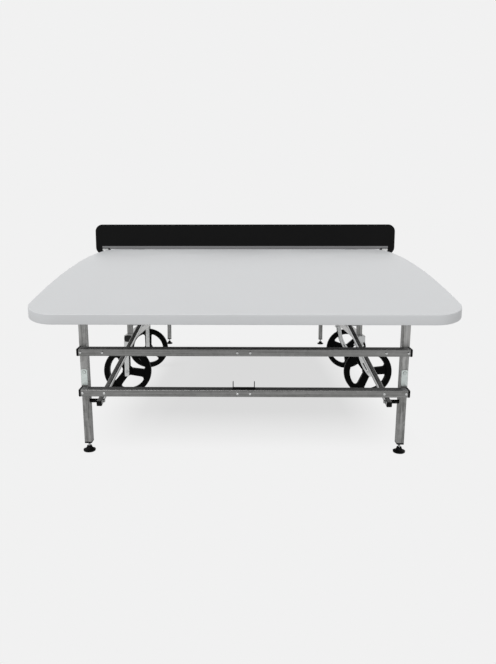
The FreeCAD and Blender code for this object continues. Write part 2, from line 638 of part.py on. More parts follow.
def leg():
    """Rectangular tube, slotted behind its head for the tongue, bored for its pin and bolts."""
    x0 = LEG_X - LEG_WIDTH / 2
    x1 = LEG_X + LEG_WIDTH / 2
    tube = hollow_box(x0, x1, LEG_FRONT, LEG_BACK, along_leg(LEG_BOTTOM_Z), LEG_TOP_MARGIN, "Z")
    slot_low = -LEG_LUG_RADIUS - SWEEP_GAP
    slot = box(x0 + TUBE_WALL, x1 - TUBE_WALL, LEG_BACK - 2 * TUBE_WALL, LEG_BACK + THROUGH,
               slot_low, LEG_TOP_MARGIN + THROUGH)
    tube = tube.cut(slot)
    tube = tube.cut(rod_x(LEG_PIN_RADIUS + RUN_FIT, x0 - THROUGH, x1 + THROUGH, 0, 0))
    inner_face = LEG_FRONT + TUBE_WALL
    for height in (UPPER_RAIL_Z, LOWER_RAIL_Z):
        z = along_leg(height)
        tube = tube.cut(bolt_bore(LEG_X, z, LEG_FRONT - THROUGH, inner_face + THROUGH))
    return lean(tube)


def rail(height):
    """Cross rail bolted to the front of both legs."""
    z = along_leg(height)
    reach = RAIL_HALF - CAP_THICKNESS
    front = LEG_FRONT - RAIL_DEPTH
    tube = hollow_box(-reach, reach, front, LEG_FRONT, z - RAIL_HEIGHT / 2, z + RAIL_HEIGHT / 2, "X")
    for x, _ in bolt_places():
        for side in (-x, x):
            tube = tube.cut(bolt_bore(side, z, front - THROUGH, LEG_FRONT + THROUGH))
    return lean(tube)


def rail_cap(height):
    """Black plug in the right end of a rail."""
    z = along_leg(height)
    start = RAIL_HALF - CAP_THICKNESS
    low = z - RAIL_HEIGHT / 2
    high = z + RAIL_HEIGHT / 2
    front = LEG_FRONT - RAIL_DEPTH
    plate = rounded_bar(start, RAIL_HALF, front, LEG_FRONT, low, high, "X", TUBE_CORNER)
    plate = plate.makeFillet(CAP_ROUND, face_towards(plate, vec(1, 0, 0)).Edges)
    bolt_side = LEG_X + BOLT_RADIUS + THROUGH
    spigot = rounded_bar(bolt_side, start, front + SPIGOT_INSET, LEG_FRONT - SPIGOT_INSET,
                         low + SPIGOT_INSET, high - SPIGOT_INSET, "X", SPIGOT_CORNER)
    return lean(plate.fuse(spigot))


def foot_place():
    """Centre of the right foot: the leg's axis carried down to the leg's lower end."""
    drop = LEG_PIVOT_Z - LEG_BOTTOM_Z
    return LEG_X, -LEG_PIVOT_Y - LEG_PIVOT_SETBACK + drop * math.tan(math.radians(LEG_TILT))


def leg_cap():
    """Black plug in the lower end of the right leg, bored upright for the foot's stem."""
    z = along_leg(LEG_BOTTOM_Z)
    x0 = LEG_X - LEG_WIDTH / 2
    x1 = LEG_X + LEG_WIDTH / 2
    plate = rounded_bar(x0, x1, LEG_FRONT, LEG_BACK, z - LEG_CAP_THICKNESS, z, "Z", TUBE_CORNER)
    spigot = rounded_bar(x0 + SPIGOT_INSET, x1 - SPIGOT_INSET, LEG_FRONT + SPIGOT_INSET,
                         LEG_BACK - SPIGOT_INSET, z, z + CAP_SPIGOT, "Z", SPIGOT_CORNER)
    x, y = foot_place()
    bore = rod_z(FOOT_STEM_RADIUS + RUN_FIT, 0, LEG_PIVOT_Z, x, y)
    return lean(plate.fuse(spigot)).cut(bore)


def end_caps():
    caps = []
    for cap in (rail_cap(UPPER_RAIL_Z), rail_cap(LOWER_RAIL_Z), leg_cap()):
        caps += both_sides(cap)
    return caps


def rail_bolts():
    """Hexagon bolts through both rails, into the legs or into a nut behind the rail."""
    bolts = []
    front = LEG_FRONT - RAIL_DEPTH
    for height in (UPPER_RAIL_Z, LOWER_RAIL_Z):
        z = along_leg(height)
        for x, in_leg in bolt_places():
            tail = LEG_FRONT + TUBE_WALL if in_leg else LEG_FRONT
            shank = rod_y(BOLT_RADIUS, front, tail, x, z)
            head = hex_y(BOLT_HEAD_RADIUS, front - BOLT_HEAD_HEIGHT, front, x, z)
            nut = hex_y(BOLT_HEAD_RADIUS, tail, tail + BOLT_HEAD_HEIGHT, x, z)
            bolts += both_sides(lean(shank.fuse([head, nut])))
    return bolts


def stirrup():
    """Bent strap that stands up at both ends, on the middle of the lower rail."""
    low = along_leg(LOWER_RAIL_Z) + RAIL_HEIGHT / 2
    half = STIRRUP_WIDTH / 2
    y0 = LEG_FRONT - RAIL_DEPTH / 2 - STIRRUP_DEPTH / 2
    y1 = y0 + STIRRUP_DEPTH
    strap = box(-half, half, y0, y1, low, low + STIRRUP_HEIGHT)
    gap = box(-half + STIRRUP_THICKNESS, half - STIRRUP_THICKNESS, y0 - THROUGH, y1 + THROUGH,
              low + STIRRUP_THICKNESS, low + STIRRUP_HEIGHT + THROUGH)
    return lean(strap.cut(gap))


def leg_plate():
    """Plate with rounded upper corners and a socket screw on the leg's front, just above the lower rail."""
    low = along_leg(LOWER_RAIL_Z) + RAIL_HEIGHT / 2 + LEG_PLATE_GAP
    half = LEG_PLATE_WIDTH / 2
    y0 = LEG_FRONT - LEG_PLATE_THICKNESS
    high = low + LEG_PLATE_HEIGHT
    plate = box(LEG_X - half, LEG_X + half, y0, LEG_FRONT, low, high)
    upper = edges_along(plate, vec(0, 1, 0), lambda point: point.z > high - LEG_PLATE_ROUND)
    plate = plate.makeFillet(LEG_PLATE_ROUND, upper)
    screw_front = y0 - PLATE_SCREW_HEIGHT
    screw = rod_y(PLATE_SCREW_RADIUS, screw_front, y0, LEG_X, high - half)
    socket = hex_y(PLATE_SCREW_SOCKET, screw_front - THROUGH, y0, LEG_X, high - half)
    return lean(plate.fuse(screw.cut(socket)))


# Braces

def along_brace(shape):
    """Turn a piece drawn along -Y from the brace pivot onto the line to the leg."""
    slope = math.atan2(LEG_PIVOT_Z - FOLD_PIVOT_Z, LEG_PIVOT_Y - POST_Y)
    placed = shape.copy()
    placed.rotate(vec(0, 0, 0), vec(1, 0, 0), -math.degrees(slope))
    placed.translate(vec(0, -POST_Y, BRACE_PIVOT_Z))
    return placed


def brace_length():
    return math.hypot(LEG_PIVOT_Y - POST_Y, LEG_PIVOT_Z - FOLD_PIVOT_Z)


def brace():
    """Square tube from the post to the leg, bored at both pivots."""
    x0 = BRACE_X - BRACE_WIDTH / 2
    x1 = BRACE_X + BRACE_WIDTH / 2
    half = BRACE_DEPTH / 2
    length = brace_length()
    tube = hollow_box(x0, x1, -length - BRACE_TAIL, BRACE_HEAD, -half, half, "Y")
    tube = tube.cut(rod_x(FOLD_PIN_RADIUS + RUN_FIT, x0 - THROUGH, x1 + THROUGH, 0, 0))
    tube = tube.cut(rod_x(LEG_PIN_RADIUS + RUN_FIT, x0 - THROUGH, x1 + THROUGH, -length, 0))
    return along_brace(tube)


def brace_bolt():
    """Bolt through the lower end of the right brace, with its head on the inner side."""
    length = brace_length()
    inner = BRACE_X - BRACE_WIDTH / 2
    shank = rod_x(LEG_PIN_RADIUS, inner, BRACE_X + BRACE_WIDTH / 2, -length, 0)
    head = rod_x(BRACE_BOLT_HEAD_RADIUS, inner - BRACE_BOLT_HEAD_HEIGHT, inner, -length, 0)
    return along_brace(shank.fuse(head))


def brace_sleeve():
    """Spacer sleeve between the right brace and the leg's inner face."""
    start = BRACE_X + BRACE_WIDTH / 2
    leg_face = LEG_X - LEG_WIDTH / 2
    return along_brace(rod_x(SLEEVE_RADIUS, start, leg_face - SEAT_GAP, -brace_length(), 0))


def brace_cap(reach):
    """Black plug in the end of the right brace that lies the given reach past a pivot, drawn along +Y."""
    x0 = BRACE_X - BRACE_WIDTH / 2
    x1 = BRACE_X + BRACE_WIDTH / 2
    half = BRACE_DEPTH / 2
    start = FOLD_PIN_RADIUS + THROUGH
    plate = rounded_bar(x0, x1, reach, reach + CAP_THICKNESS / 2, -half, half, "Y", TUBE_CORNER)
    spigot = rounded_bar(x0 + SPIGOT_INSET, x1 - SPIGOT_INSET, start, reach,
                         -half + SPIGOT_INSET, half - SPIGOT_INSET, "Y", SPIGOT_CORNER)
    return plate.fuse(spigot)


def brace_fittings():
    """Bolts, sleeves and end plugs of both braces."""
    lower_cap = mirror_y(brace_cap(BRACE_TAIL))
    lower_cap.translate(vec(0, -brace_length(), 0))
    caps = [along_brace(lower_cap), along_brace(brace_cap(BRACE_HEAD))]
    fittings = []
    for piece in [brace_bolt(), brace_sleeve()] + caps:
        fittings += both_sides(piece)
    return fittings


# Levelling feet

def foot():
    """Bell-shaped pad turned from one profile, and the upright stem that seats in it."""
    x, y = foot_place()
    bore = FOOT_STEM_RADIUS + RUN_FIT
    outline = [(0, 0), (FOOT_SOLE_RADIUS, 0), (FOOT_RADIUS, FOOT_EDGE_LOW), (FOOT_RADIUS, FOOT_EDGE_HIGH)]
    outline += [(FOOT_SHOULDER_RADIUS, FOOT_SHOULDER_HEIGHT), (FOOT_NECK_RADIUS, FOOT_HEIGHT)]
    outline += [(bore, FOOT_HEIGHT), (bore, FOOT_EDGE_HIGH), (0, FOOT_EDGE_HIGH)]
    points = [vec(radius, 0, z) for radius, z in outline]
    pad = Part.Face(Part.makePolygon(points + points[:1])).revolve(vec(0, 0, 0), vec(0, 0, 1), 360)
    pad.translate(vec(x, y, 0))
    stem = rod_z(FOOT_STEM_RADIUS, FOOT_EDGE_HIGH, FOOT_HEIGHT + FOOT_STEM_LENGTH, x, y)
    return [pad, stem]


# Net

def net_pocket(x):
    """Space for a post's tongue, open at the bottom of the rail."""
    wide = TONGUE_WIDTH / 2 + SIDE_GAP
    thick = TONGUE_THICKNESS / 2 + SIDE_GAP
    return box(x - wide, x + wide, -thick, thick, NET_RAIL_BOTTOM - THROUGH,
               NET_RAIL_BOTTOM + TONGUE_REACH + SIDE_GAP)


def net_panel():
    """Black panel with rounded corners, cut away below between its two hanging ends."""
    thick = NET_THICKNESS / 2
    low = HEIGHT_AT_NET - NET_DIP
    panel = box(-NET_HALF, NET_HALF, -thick, thick, low, HEIGHT_AT_NET + NET_RISE)
    panel = panel.makeFillet(NET_CORNER_RADIUS, edges_along(panel, vec(0, 1, 0), lambda point: True))
    cut_half = NET_RAIL_HALF + SEAT_GAP
    panel = panel.cut(box(-cut_half, cut_half, -NET_RAIL_DEPTH, NET_RAIL_DEPTH, 0, NET_GROOVE_FLOOR))
    for x in (-BEAM_X, BEAM_X):
        panel = panel.cut(net_pocket(x))
    return panel


def net_rail():
    """Aluminium channel along the foot of the panel, slotted for the post tongues, stepped up at its ends."""
    depth = NET_RAIL_DEPTH / 2
    top = NET_RAIL_BOTTOM + NET_RAIL_HEIGHT
    bar = box(-NET_RAIL_HALF, NET_RAIL_HALF, -depth, depth, NET_RAIL_BOTTOM, top)
    groove = NET_THICKNESS / 2 + RUN_FIT
    past = NET_RAIL_HALF + THROUGH
    bar = bar.cut(box(-past, past, -groove, groove, NET_GROOVE_FLOOR, top + THROUGH))
    step = box(CLAMP_INNER_X - BRACKET_FLANGE, past, -NET_RAIL_DEPTH, NET_RAIL_DEPTH, 0, CLAMP_TOP)
    bar = bar.cut(both_sides(step))
    for x in (-BEAM_X, BEAM_X):
        bar = bar.cut(net_pocket(x))
    return bar


def net_clamps():
    """Clamp block below each stepped end of the net rail, under a bracket bent down on its inner side."""
    depth = NET_RAIL_DEPTH / 2
    top = CLAMP_TOP - BRACKET_TOP
    low = top - CLAMP_HEIGHT
    block = box(CLAMP_INNER_X, NET_RAIL_HALF, -depth, depth, low, top)
    lower = edges_along(block, vec(0, 1, 0), lambda point: point.z < top - CLAMP_ROUND)
    block = block.makeFillet(CLAMP_ROUND, lower)
    bracket = box(CLAMP_INNER_X - BRACKET_FLANGE, NET_RAIL_HALF, -depth, depth, low, CLAMP_TOP)
    bend = edges_along(bracket, vec(0, 1, 0), lambda point: point.x < CLAMP_INNER_X)
    bracket = bracket.makeFillet(CLAMP_ROUND, bend)
    below = box(CLAMP_INNER_X, NET_RAIL_HALF + THROUGH, -NET_RAIL_DEPTH, NET_RAIL_DEPTH, 0, top)
    return both_sides(block) + both_sides(bracket.cut(below))


# Assembly

def half_pieces():
    """Every piece of the front half, by name; a list is a group of separate solids."""
    right = {"runner": [runner()], "leg": [leg()], "brace": [brace()], "foot": foot()}
    pieces = {"board": board(), "crossbars": crossbars()}
    for name, group in right.items():
        pieces["right_" + name] = group
        pieces["left_" + name] = [mirror_x(shape) for shape in group]
    pieces["upper_rail"] = rail(UPPER_RAIL_Z)
    pieces["lower_rail"] = rail(LOWER_RAIL_Z)
    pieces["end_caps"] = end_caps()
    pieces["rail_bolts"] = rail_bolts()
    pieces["stirrup"] = stirrup()
    pieces["leg_plates"] = both_sides(leg_plate())
    pieces["brace_fittings"] = brace_fittings()
    return pieces


def carriage_pieces():
    """Every piece of the carriage, its forks, axles and wheels, by name."""
    pieces = {"right_side_beam": side_beam(), "left_side_beam": mirror_x(side_beam())}
    pieces["right_net_post"] = net_post()
    pieces["left_net_post"] = mirror_x(net_post())
    pieces["cross_tubes"] = cross_tubes()
    caps = both_sides(beam_cap())
    pins = both_sides(fold_pin()) + both_sides(brace_pin())
    pieces["beam_end_caps"] = caps + [mirror_y(cap) for cap in caps]
    pieces["pivot_pins"] = pins + [mirror_y(pin) for pin in pins]
    pieces["fixed_axles"] = [axle(-FIXED_FORK_X, y) for y in (-POST_Y, POST_Y)]
    pieces["swivel_sockets"] = [swivel_socket(y) for y in (-POST_Y, POST_Y)]
    for end, y in (("front", -POST_Y), ("rear", POST_Y)):
        post = pivot_post() if end == "front" else mirror_y(pivot_post())
        pieces[end + "_right_post"] = post
        pieces[end + "_left_post"] = mirror_x(post)
        pieces[end + "_left_fork"] = fixed_fork(y)
        pieces[end + "_right_fork"] = swivel_fork(y)
        pieces[end + "_right_axle"] = axle(SWIVEL_AXLE_X, y)
        pieces[end + "_left_wheel"] = wheel(-FIXED_FORK_X, y, SPOKE_TURN[end + "_left"])
        pieces[end + "_right_wheel"] = wheel(SWIVEL_AXLE_X, y, SPOKE_TURN[end + "_right"])
    return pieces


def all_pieces():
    pieces = carriage_pieces()
    for name, shape in half_pieces().items():
        group = shape if isinstance(shape, list) else [shape]
        pieces["front_" + name] = group
        pieces["rear_" + name] = [mirror_y(solid) for solid in group]
    pieces["net_panel"] = net_panel()
    pieces["net_rail"] = net_rail()
    pieces["net_clamps"] = net_clamps()
    return pieces


def main():
    os.makedirs("parts", exist_ok=True)
    for name, shape in all_pieces().items():
        group = shape if isinstance(shape, list) else [shape]
        solids = [solid for item in group for solid in item.Solids]
        whole = solids[0] if len(solids) == 1 else Part.makeCompound(solids)
        whole.exportStep(os.path.join("parts", name + ".step"))
        print(name, len(solids), round(sum(solid.Volume for solid in solids)), whole.isValid())


main()
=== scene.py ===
"""Looks of a folding ball game table: finishes for its frame, and modelled boards, feet and welds."""
import json
import math

import bmesh
import bpy
import numpy as np
from bpy.types import Operator, Panel, PropertyGroup
from mathutils import Matrix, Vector
from mathutils.geometry import convex_hull_2d


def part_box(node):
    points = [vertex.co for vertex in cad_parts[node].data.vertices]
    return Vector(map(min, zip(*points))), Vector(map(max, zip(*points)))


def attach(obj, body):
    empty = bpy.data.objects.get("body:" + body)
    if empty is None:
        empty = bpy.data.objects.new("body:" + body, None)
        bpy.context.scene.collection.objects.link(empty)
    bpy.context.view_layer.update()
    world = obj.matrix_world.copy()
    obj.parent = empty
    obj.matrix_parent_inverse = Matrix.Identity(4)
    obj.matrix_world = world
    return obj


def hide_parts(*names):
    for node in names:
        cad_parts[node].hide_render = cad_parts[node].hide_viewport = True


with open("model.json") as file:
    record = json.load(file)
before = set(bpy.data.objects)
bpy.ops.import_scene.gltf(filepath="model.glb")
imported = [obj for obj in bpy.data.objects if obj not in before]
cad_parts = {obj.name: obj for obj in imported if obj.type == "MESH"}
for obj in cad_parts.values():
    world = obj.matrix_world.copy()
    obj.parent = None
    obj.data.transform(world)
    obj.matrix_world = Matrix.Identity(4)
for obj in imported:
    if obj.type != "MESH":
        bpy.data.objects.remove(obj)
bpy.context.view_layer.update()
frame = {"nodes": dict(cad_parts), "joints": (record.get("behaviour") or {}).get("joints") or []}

bl_info = {
    "name": "Folding ball game table",
    "version": (1, 0, 0),
    "blender": (4, 5, 0),
    "location": "3D View > Sidebar > Game table",
    "description": "Dresses the frame of a folding ball game table",
    "category": "Object",
}

# Places and names taken from the frame; the rear half mirrors the front half in Y
NODES = frame["nodes"]
BOARD_LOW, BOARD_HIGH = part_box("front_board")
LEG_LOW, LEG_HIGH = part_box("front_right_leg")
BRACE_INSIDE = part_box("front_right_brace")[0].x
ENDS = ("front", "rear")
SIDES = ("left", "right")

MERGE_DISTANCE = 1e-6
SHARP_ANGLE = math.radians(38)

# Axes, and the directions along them
X, Y, Z = range(3)
ALONG = np.eye(3)

WHITE = (1.0, 1.0, 1.0)


# Settings that a user would change

def number(name, description, default, **kind):
    return bpy.props.FloatProperty(name=name, description=description, default=default, **kind)


def vector(name, description, default, **kind):
    return bpy.props.FloatVectorProperty(name=name, description=description, default=default,
                                         size=len(default), **kind)


def length(name, description, default):
    return number(name, description, default, unit="LENGTH", precision=5)


def colour(name, description, default):
    return vector(name, description, default, min=0.0, max=1.0, subtype="COLOR")


def settings_of(kind, name):
    return bpy.props.PointerProperty(type=kind, name=name, description=kind.__doc__)


class BoardSizes(PropertyGroup):
    """Sizes of the arched boards."""
    height: length("Height at the net", "Top of the arch above the floor", 0.760)
    end_drop: length("End drop", "How much lower the ends are than the middle", 0.195)
    skin: length("Skin", "Thickness inside the rim", 0.014)
    rim_depth: length("Rim depth", "Depth of the rim below the playing surface", 0.034)
    rim_width: length("Rim width", "Width of the rim seen from below", 0.022)
    outer_corner: length("Outer corner", "Plan radius of the outer corners", 0.110)
    seam_corner: length("Seam corner", "Plan radius of the corners at the net", 0.020)
    edge_round: length("Edge rounding", "Radius of the upper edge", 0.0024)
    sole_round: length("Lower rounding", "Radius of the rim's lower edges", 0.0025)


class FootSizes(PropertyGroup):
    """Sizes of the levelling feet."""
    sole_radius: length("Sole radius", "Radius of the flat sole", 0.017)
    edge_low: length("Edge start", "Height at which the pad is widest", 0.005)
    edge_high: length("Edge end", "Height at which the pad starts to narrow", 0.009)
    bend_radius: length("Bend radius", "Radius of the point that the flank bends towards", 0.0114)
    bend_height: length("Bend height", "Height of the point that the flank bends towards", 0.01116)
    neck_radius: length("Neck radius", "Radius at the top of the pad", 0.0088)
    pad_height: length("Pad height", "Height of the pad", 0.024)
    stem_radius: length("Stem radius", "Outer radius of the threaded stem", 0.005)
    thread_pitch: length("Thread pitch", "Rise of the thread in one turn", 0.0015)
    thread_depth: length("Thread depth", "Depth of the thread", 0.0009)


class NetSizes(PropertyGroup):
    """Sizes of the clamps at the ends of the net."""
    clamp_length: length("Clamp length", "Length of a block along the net", 0.034)
    bracket_top: length("Bracket thickness", "Thickness of a bracket above its block", 0.004)
    bracket_flange: length("Bracket flange", "Width of a bracket's bent-down end", 0.008)
    block_round: length("Block rounding", "Radius of a block's corners", 0.002)
    bracket_round: length("Bracket rounding", "Radius of a bracket's corners", 0.00181818)
    end_round: length("End rounding", "How far the front and back edges are eased", 0.0008)


class BoltSizes(PropertyGroup):
    """Sizes of the bolts through the rails."""
    head_radius: length("Head radius", "Radius of the domed head", 0.0050)
    head_rim: length("Head rim", "Height of the head's upright rim", 0.0008)
    head_height: length("Head height", "Height of the head, were its dome whole", 0.0040)
    socket_radius: length("Socket radius", "Half the width across flats of the socket", 0.0016)
    socket_depth: length("Socket depth", "Depth of the socket below the crown", 0.0016)
    nut_radius: length("Nut radius", "Half the width across flats of the nut", 0.0043)
    nut_height: length("Nut height", "Height of the nut", 0.0040)
    nut_face: length("Nut face", "Radius of the nut's flat end", 0.003698)
    nut_chamfer: length("Nut chamfer", "Height of the chamfer at the nut's end", 0.0008)
    shank_radius: length("Shank radius", "Radius of the shank", 0.0035)


class CapSizes(PropertyGroup):
    """Sizes of the lips of the black caps on the rails' ends."""
    lip_length: length("Lip length", "How far a lip reaches over the end of its rail", 0.0042)
    lip_rise: length("Lip rise", "How far a lip stands proud of its rail", 0.0007)
    flange: length("Flange", "How far the lip runs on beyond the rail's end", 0.0030)


class WeldSizes(PropertyGroup):
    """Sizes of the weld beads on the carriage."""
    radius: length("Bead radius", "Radius of a weld bead", 0.0028)
    ripple: length("Ripple", "How much the bead's radius changes along it", 0.0005)
    pitch: length("Ripple pitch", "Distance between two ripples", 0.004)
    corner: length("Tube corner", "Corner radius of the welded tubes", 0.003)


class Finishes(PropertyGroup):
    """Colours of the finishes."""
    board: colour("Board", "Light playing surface and rim", (0.640, 0.650, 0.660))
    # Painted shade: the underside is made near black so that the steel below it mirrors darkness
    backing: colour("Backing", "Dark underside of the boards", (0.016, 0.016, 0.017))
    steel_dark: colour("Steel, dark streaks", "Darker streaks of the tubes", (0.16, 0.16, 0.155))
    steel_light: colour("Steel, light streaks", "Lighter streaks of the tubes", (0.38, 0.38, 0.375))
    # Painted shade: the rails' upper faces are painted dark as the board's shade, less dark by the legs
    dark_tone: colour("Shaded steel", "Upper faces of the rails", (0.14, 0.14, 0.14))
    lighter_painted_shade: colour("Shaded steel, lighter", "Upper faces of the rails by the legs", (0.19, 0.19, 0.19))
    zinc_dark: colour("Zinc, dark patches", "Darker patches of the zinc", (0.55, 0.56, 0.56))
    zinc_light: colour("Zinc, light patches", "Lighter patches of the zinc", (0.86, 0.87, 0.86))
    plate_tint: colour("Plate tint", "Greenish cast of the leg plates", (0.88, 0.94, 0.92))
    plastic: colour("Black plastic", "Moulded plugs, wheels and pads", (0.0015, 0.0015, 0.0015))
    net: colour("Net panel", "Black net panel", (0.0030, 0.0030, 0.0031))
    # Painted light and shade: the channel's upper lip is painted lighter as lit, its lower part darker as
    # shade
    channel: colour("Channel", "Lower part of the channel below the net", (0.190, 0.190, 0.195))
    channel_lip: colour("Channel lip", "Upper lip of the channel", (0.225, 0.225, 0.230))


class StageSettings(PropertyGroup):
    """Camera, lamp and background."""
    camera_place: vector("Camera place", "Where the camera stands", (0.0066, -3.4821, 0.8043),
                         subtype="TRANSLATION", unit="LENGTH")
    camera_pitch: number("Camera pitch", "How far the camera looks down", 0.14888, unit="ROTATION")
    camera_turn: number("Camera turn", "How far the camera looks to the right", -0.015, unit="ROTATION")
    camera_roll: number("Camera roll", "Turn about the line of sight", -0.00015, unit="ROTATION")
    camera_shift: number("Camera shift", "Sideways lens shift", 0.017, subtype="FACTOR")
    focal_length: number("Focal length", "Lens in millimetres for a 36 mm sensor", 32.704, unit="CAMERA")
    background: colour("Background", "Pale floor and backdrop", (0.880, 0.880, 0.880))
    sky_level: number("Sky level", "Strength of the even light from all round", 0.25)
    key_level: number("Key level", "Strength of the soft lamp overhead", 2.28)
    key_spread: number("Key spread", "Angular size of the soft lamp", 0.8, unit="ROTATION")
    key_turn: vector("Key turn", "Turn of the soft lamp from straight down", (0.5, -0.24, 0.0),
                     subtype="EULER", unit="ROTATION")
    floor_bounce: colour("Floor bounce", "Light that the floor throws back", (0.75, 0.75, 0.75))
    floor_lift: number("Floor lift", "Share of plain background in the shaded floor", 0.78,
                       subtype="FACTOR")
    shadow_reach: vector("Shadow reach", "Half the width and length of the floor in full shadow",
                         (0.48, 0.68), unit="LENGTH")
    shadow_end: vector("Shadow end", "Half the width and length at which the shadow ends",
                       (0.74, 1.24), unit="LENGTH")


class GameTableSettings(PropertyGroup):
    """All settings of the table."""
    board: settings_of(BoardSizes, "Boards")
    foot: settings_of(FootSizes, "Feet")
    net: settings_of(NetSizes, "Net")
    bolt: settings_of(BoltSizes, "Bolts")
    cap: settings_of(CapSizes, "Caps")
    weld: settings_of(WeldSizes, "Welds")
    finish: settings_of(Finishes, "Finishes")
    stage: settings_of(StageSettings, "Stage")


def settings():
    return bpy.context.scene.game_table


# Names of like pieces

def every(*patterns):
    """Node names for both ends, or for all four corners where the pattern has a side."""
    names = []
    for pattern in patterns:
        sides = SIDES if "{side}" in pattern else ("",)
        names += [pattern.format(end=end, side=side) for end in ENDS for side in sides]
    return names


# Surfaces as grids of points

def grid_faces(rows, columns, closed):
    """Quads between neighbouring rows and columns; a closed grid joins its last column to its first."""
    row = np.arange(rows - 1)[:, None]
    column = np.arange(columns if closed else columns - 1)[None, :]
    following = (column + 1) % columns
    corners = (row * columns + column, row * columns + following,
               (row + 1) * columns + following, (row + 1) * columns + column)
    return np.stack(corners, axis=-1).reshape(-1, 4)


class Surface:
    """A grid of points (rows, columns, 3), closed round its columns or not, with flat lids if asked."""

    def __init__(self, points, closed=True, lids=False, finish=0):
        self.points = np.asarray(points, float)
        self.closed = closed
        self.lids = lids
        self.finish = finish

    def faces(self, first):
        """Faces with the grid's points numbered from first, row by row."""
        rows, columns = self.points.shape[:2]
        faces = (grid_faces(rows, columns, self.closed) + first).tolist()
        if self.lids:
            for start in (first, first + (rows - 1) * columns):
                faces.append(list(range(start, start + columns)))
        return faces


def place_object(name, data):
    """A new object in the scene."""
    item = bpy.data.objects.new(name, data)
    bpy.context.scene.collection.objects.link(item)
    return item


def make_piece(name, surfaces, materials, body, replaces=()):
    """One mesh of several surfaces: doubles merged, faces turned outwards, smooth but for sharp edges."""
    points = []
    faces = []
    finishes = []
    for surface in surfaces:
        fresh = surface.faces(sum(len(block) for block in points))
        points.append(surface.points.reshape(-1, 3))
        faces += fresh
        finishes += [surface.finish] * len(fresh)
    mesh = bpy.data.meshes.new(name)
    mesh.from_pydata(np.concatenate(points).tolist(), [], faces)
    mesh.polygons.foreach_set("material_index", finishes)
    work = bmesh.new()
    work.from_mesh(mesh)
    bmesh.ops.remove_doubles(work, verts=work.verts, dist=MERGE_DISTANCE)
    bmesh.ops.recalc_face_normals(work, faces=work.faces)
    work.to_mesh(mesh)
    work.free()
    mesh.shade_smooth()
    mesh.set_sharp_from_angle(angle=SHARP_ANGLE)
    for material in materials:
        mesh.materials.append(material)
    piece = place_object(name, mesh)
    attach(piece, body)
    if replaces:
        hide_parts(*replaces)


def arc(start, finish, centre_x, centre_y, radius, count):
    """Points of a circle from one angle to another, in degrees, as (count, 2)."""
    angle = np.radians(np.linspace(start, finish, count))
    return np.stack([centre_x + radius * np.cos(angle), centre_y + radius * np.sin(angle)], axis=-1)


def bent(start, middle, finish, count):
    """Parabola from start to finish that leaves and arrives in line with the point in the middle."""
    share = np.linspace(0, 1, count)[:, None]
    return (1 - share) ** 2 * start + 2 * share * (1 - share) * middle + share ** 2 * finish


def whole_turn(segments):
    """Even angles once round, the last one short of the first."""
    return np.linspace(0, 2 * math.pi, segments, endpoint=False)


def about_axis(radius, height, angle):
    """Points round the upright axis: the radius times cosine and sine of the angle, and the height."""
    radius, height, angle = np.broadcast_arrays(radius, height, angle)
    return np.stack([radius * np.cos(angle), radius * np.sin(angle), height], axis=-1)


def turned(profile, segments, sides=0.0):
    """A profile of (radius, height) carried round the upright axis; sides, a share for each row, turns the
    circle into a hexagon whose sides touch it."""
    profile = np.asarray(profile, float)
    angle = whole_turn(segments)
    hexagon = 1 / np.cos((angle + math.pi / 6) % (math.pi / 3) - math.pi / 6)
    radius = profile[:, :1] * (1 + np.reshape(sides, (-1, 1)) * (hexagon - 1))
    return about_axis(radius, profile[:, 1:], angle)


def carried(rings, axis):
    """Flat rings of points, each with its place along an axis, as the rows of one grid."""
    return np.stack([np.insert(ring, axis, place, axis=1) for ring, place in rings])


# Shader nodes

# Width over which one finish gives way to the next
BLEND = 0.0006

# Places of a Mix node's two inputs and its output, by what it mixes
MIX_SOCKETS = {"FLOAT": (2, 3, 0), "RGBA": (6, 7, 2)}


def give(tree, socket, value):
    """Feed a socket from another one, or set it to a plain value; a colour gets its alpha."""
    if isinstance(value, bpy.types.NodeSocket):
        tree.links.new(value, socket)
    elif socket.type == "RGBA":
        socket.default_value = (*value, 1.0)
    else:
        socket.default_value = value


def feed(tree, inputs, **values):
    """Give several inputs of a node by name; an underscore stands for a space."""
    for name, value in values.items():
        give(tree, inputs[name.replace("_", " ")], value)


def add_node(tree, kind, *values, operation=None, **named):
    """A new node with its inputs given in order or by name."""
    node = tree.nodes.new("ShaderNode" + kind)
    if operation:
        node.operation = operation
    for socket, value in zip(node.inputs, values):
        give(tree, socket, value)
    feed(tree, node.inputs, **named)
    return node


def object_place(tree):
    """Place on the object, which is the place in the table's own frame."""
    return add_node(tree, "TexCoord").outputs["Object"]


def folded_place(tree):
    """Place with all four corners of the table folded onto one, by the sizes of X, Y and Z."""
    return add_node(tree, "VectorMath", object_place(tree), operation="ABSOLUTE").outputs[0]


def noise(tree, place, **inputs):
    return add_node(tree, "TexNoise", Vector=place, **inputs).outputs["Fac"]


def spread(tree, value, low=0.0, high=1.0, to_low=0.0, to_high=1.0):
    """A value carried from one range to another, and kept within it."""
    node = add_node(tree, "MapRange", Value=value, From_Min=low, From_Max=high, To_Min=to_low,
                    To_Max=to_high)
    return node.outputs["Result"]


def mix(tree, share, first, second, kind="RGBA"):
    """Blend of two colours, or of two numbers for FLOAT; the share and both of them may be sockets."""
    node = tree.nodes.new("ShaderNodeMix")
    node.data_type = kind
    one, two, result = MIX_SOCKETS[kind]
    for index, value in ((0, share), (one, first), (two, second)):
        give(tree, node.inputs[index], value)
    return node.outputs[result]


def scaled(tree, tone, factor):
    """A colour made darker or lighter by a factor that changes over the surface."""
    return add_node(tree, "VectorMath", tone, operation="SCALE", Scale=factor).outputs[0]


def relief(tree, height, strength, depth):
    """Normals of a fine relief."""
    return add_node(tree, "Bump", Height=height, Strength=strength, Distance=depth).outputs["Normal"]


def reach_along(tree, way, place=None):
    """How far a place, folded if none is given, lies along a direction."""
    node = add_node(tree, "VectorMath", place or folded_place(tree), way, operation="DOT_PRODUCT")
    return node.outputs["Value"]


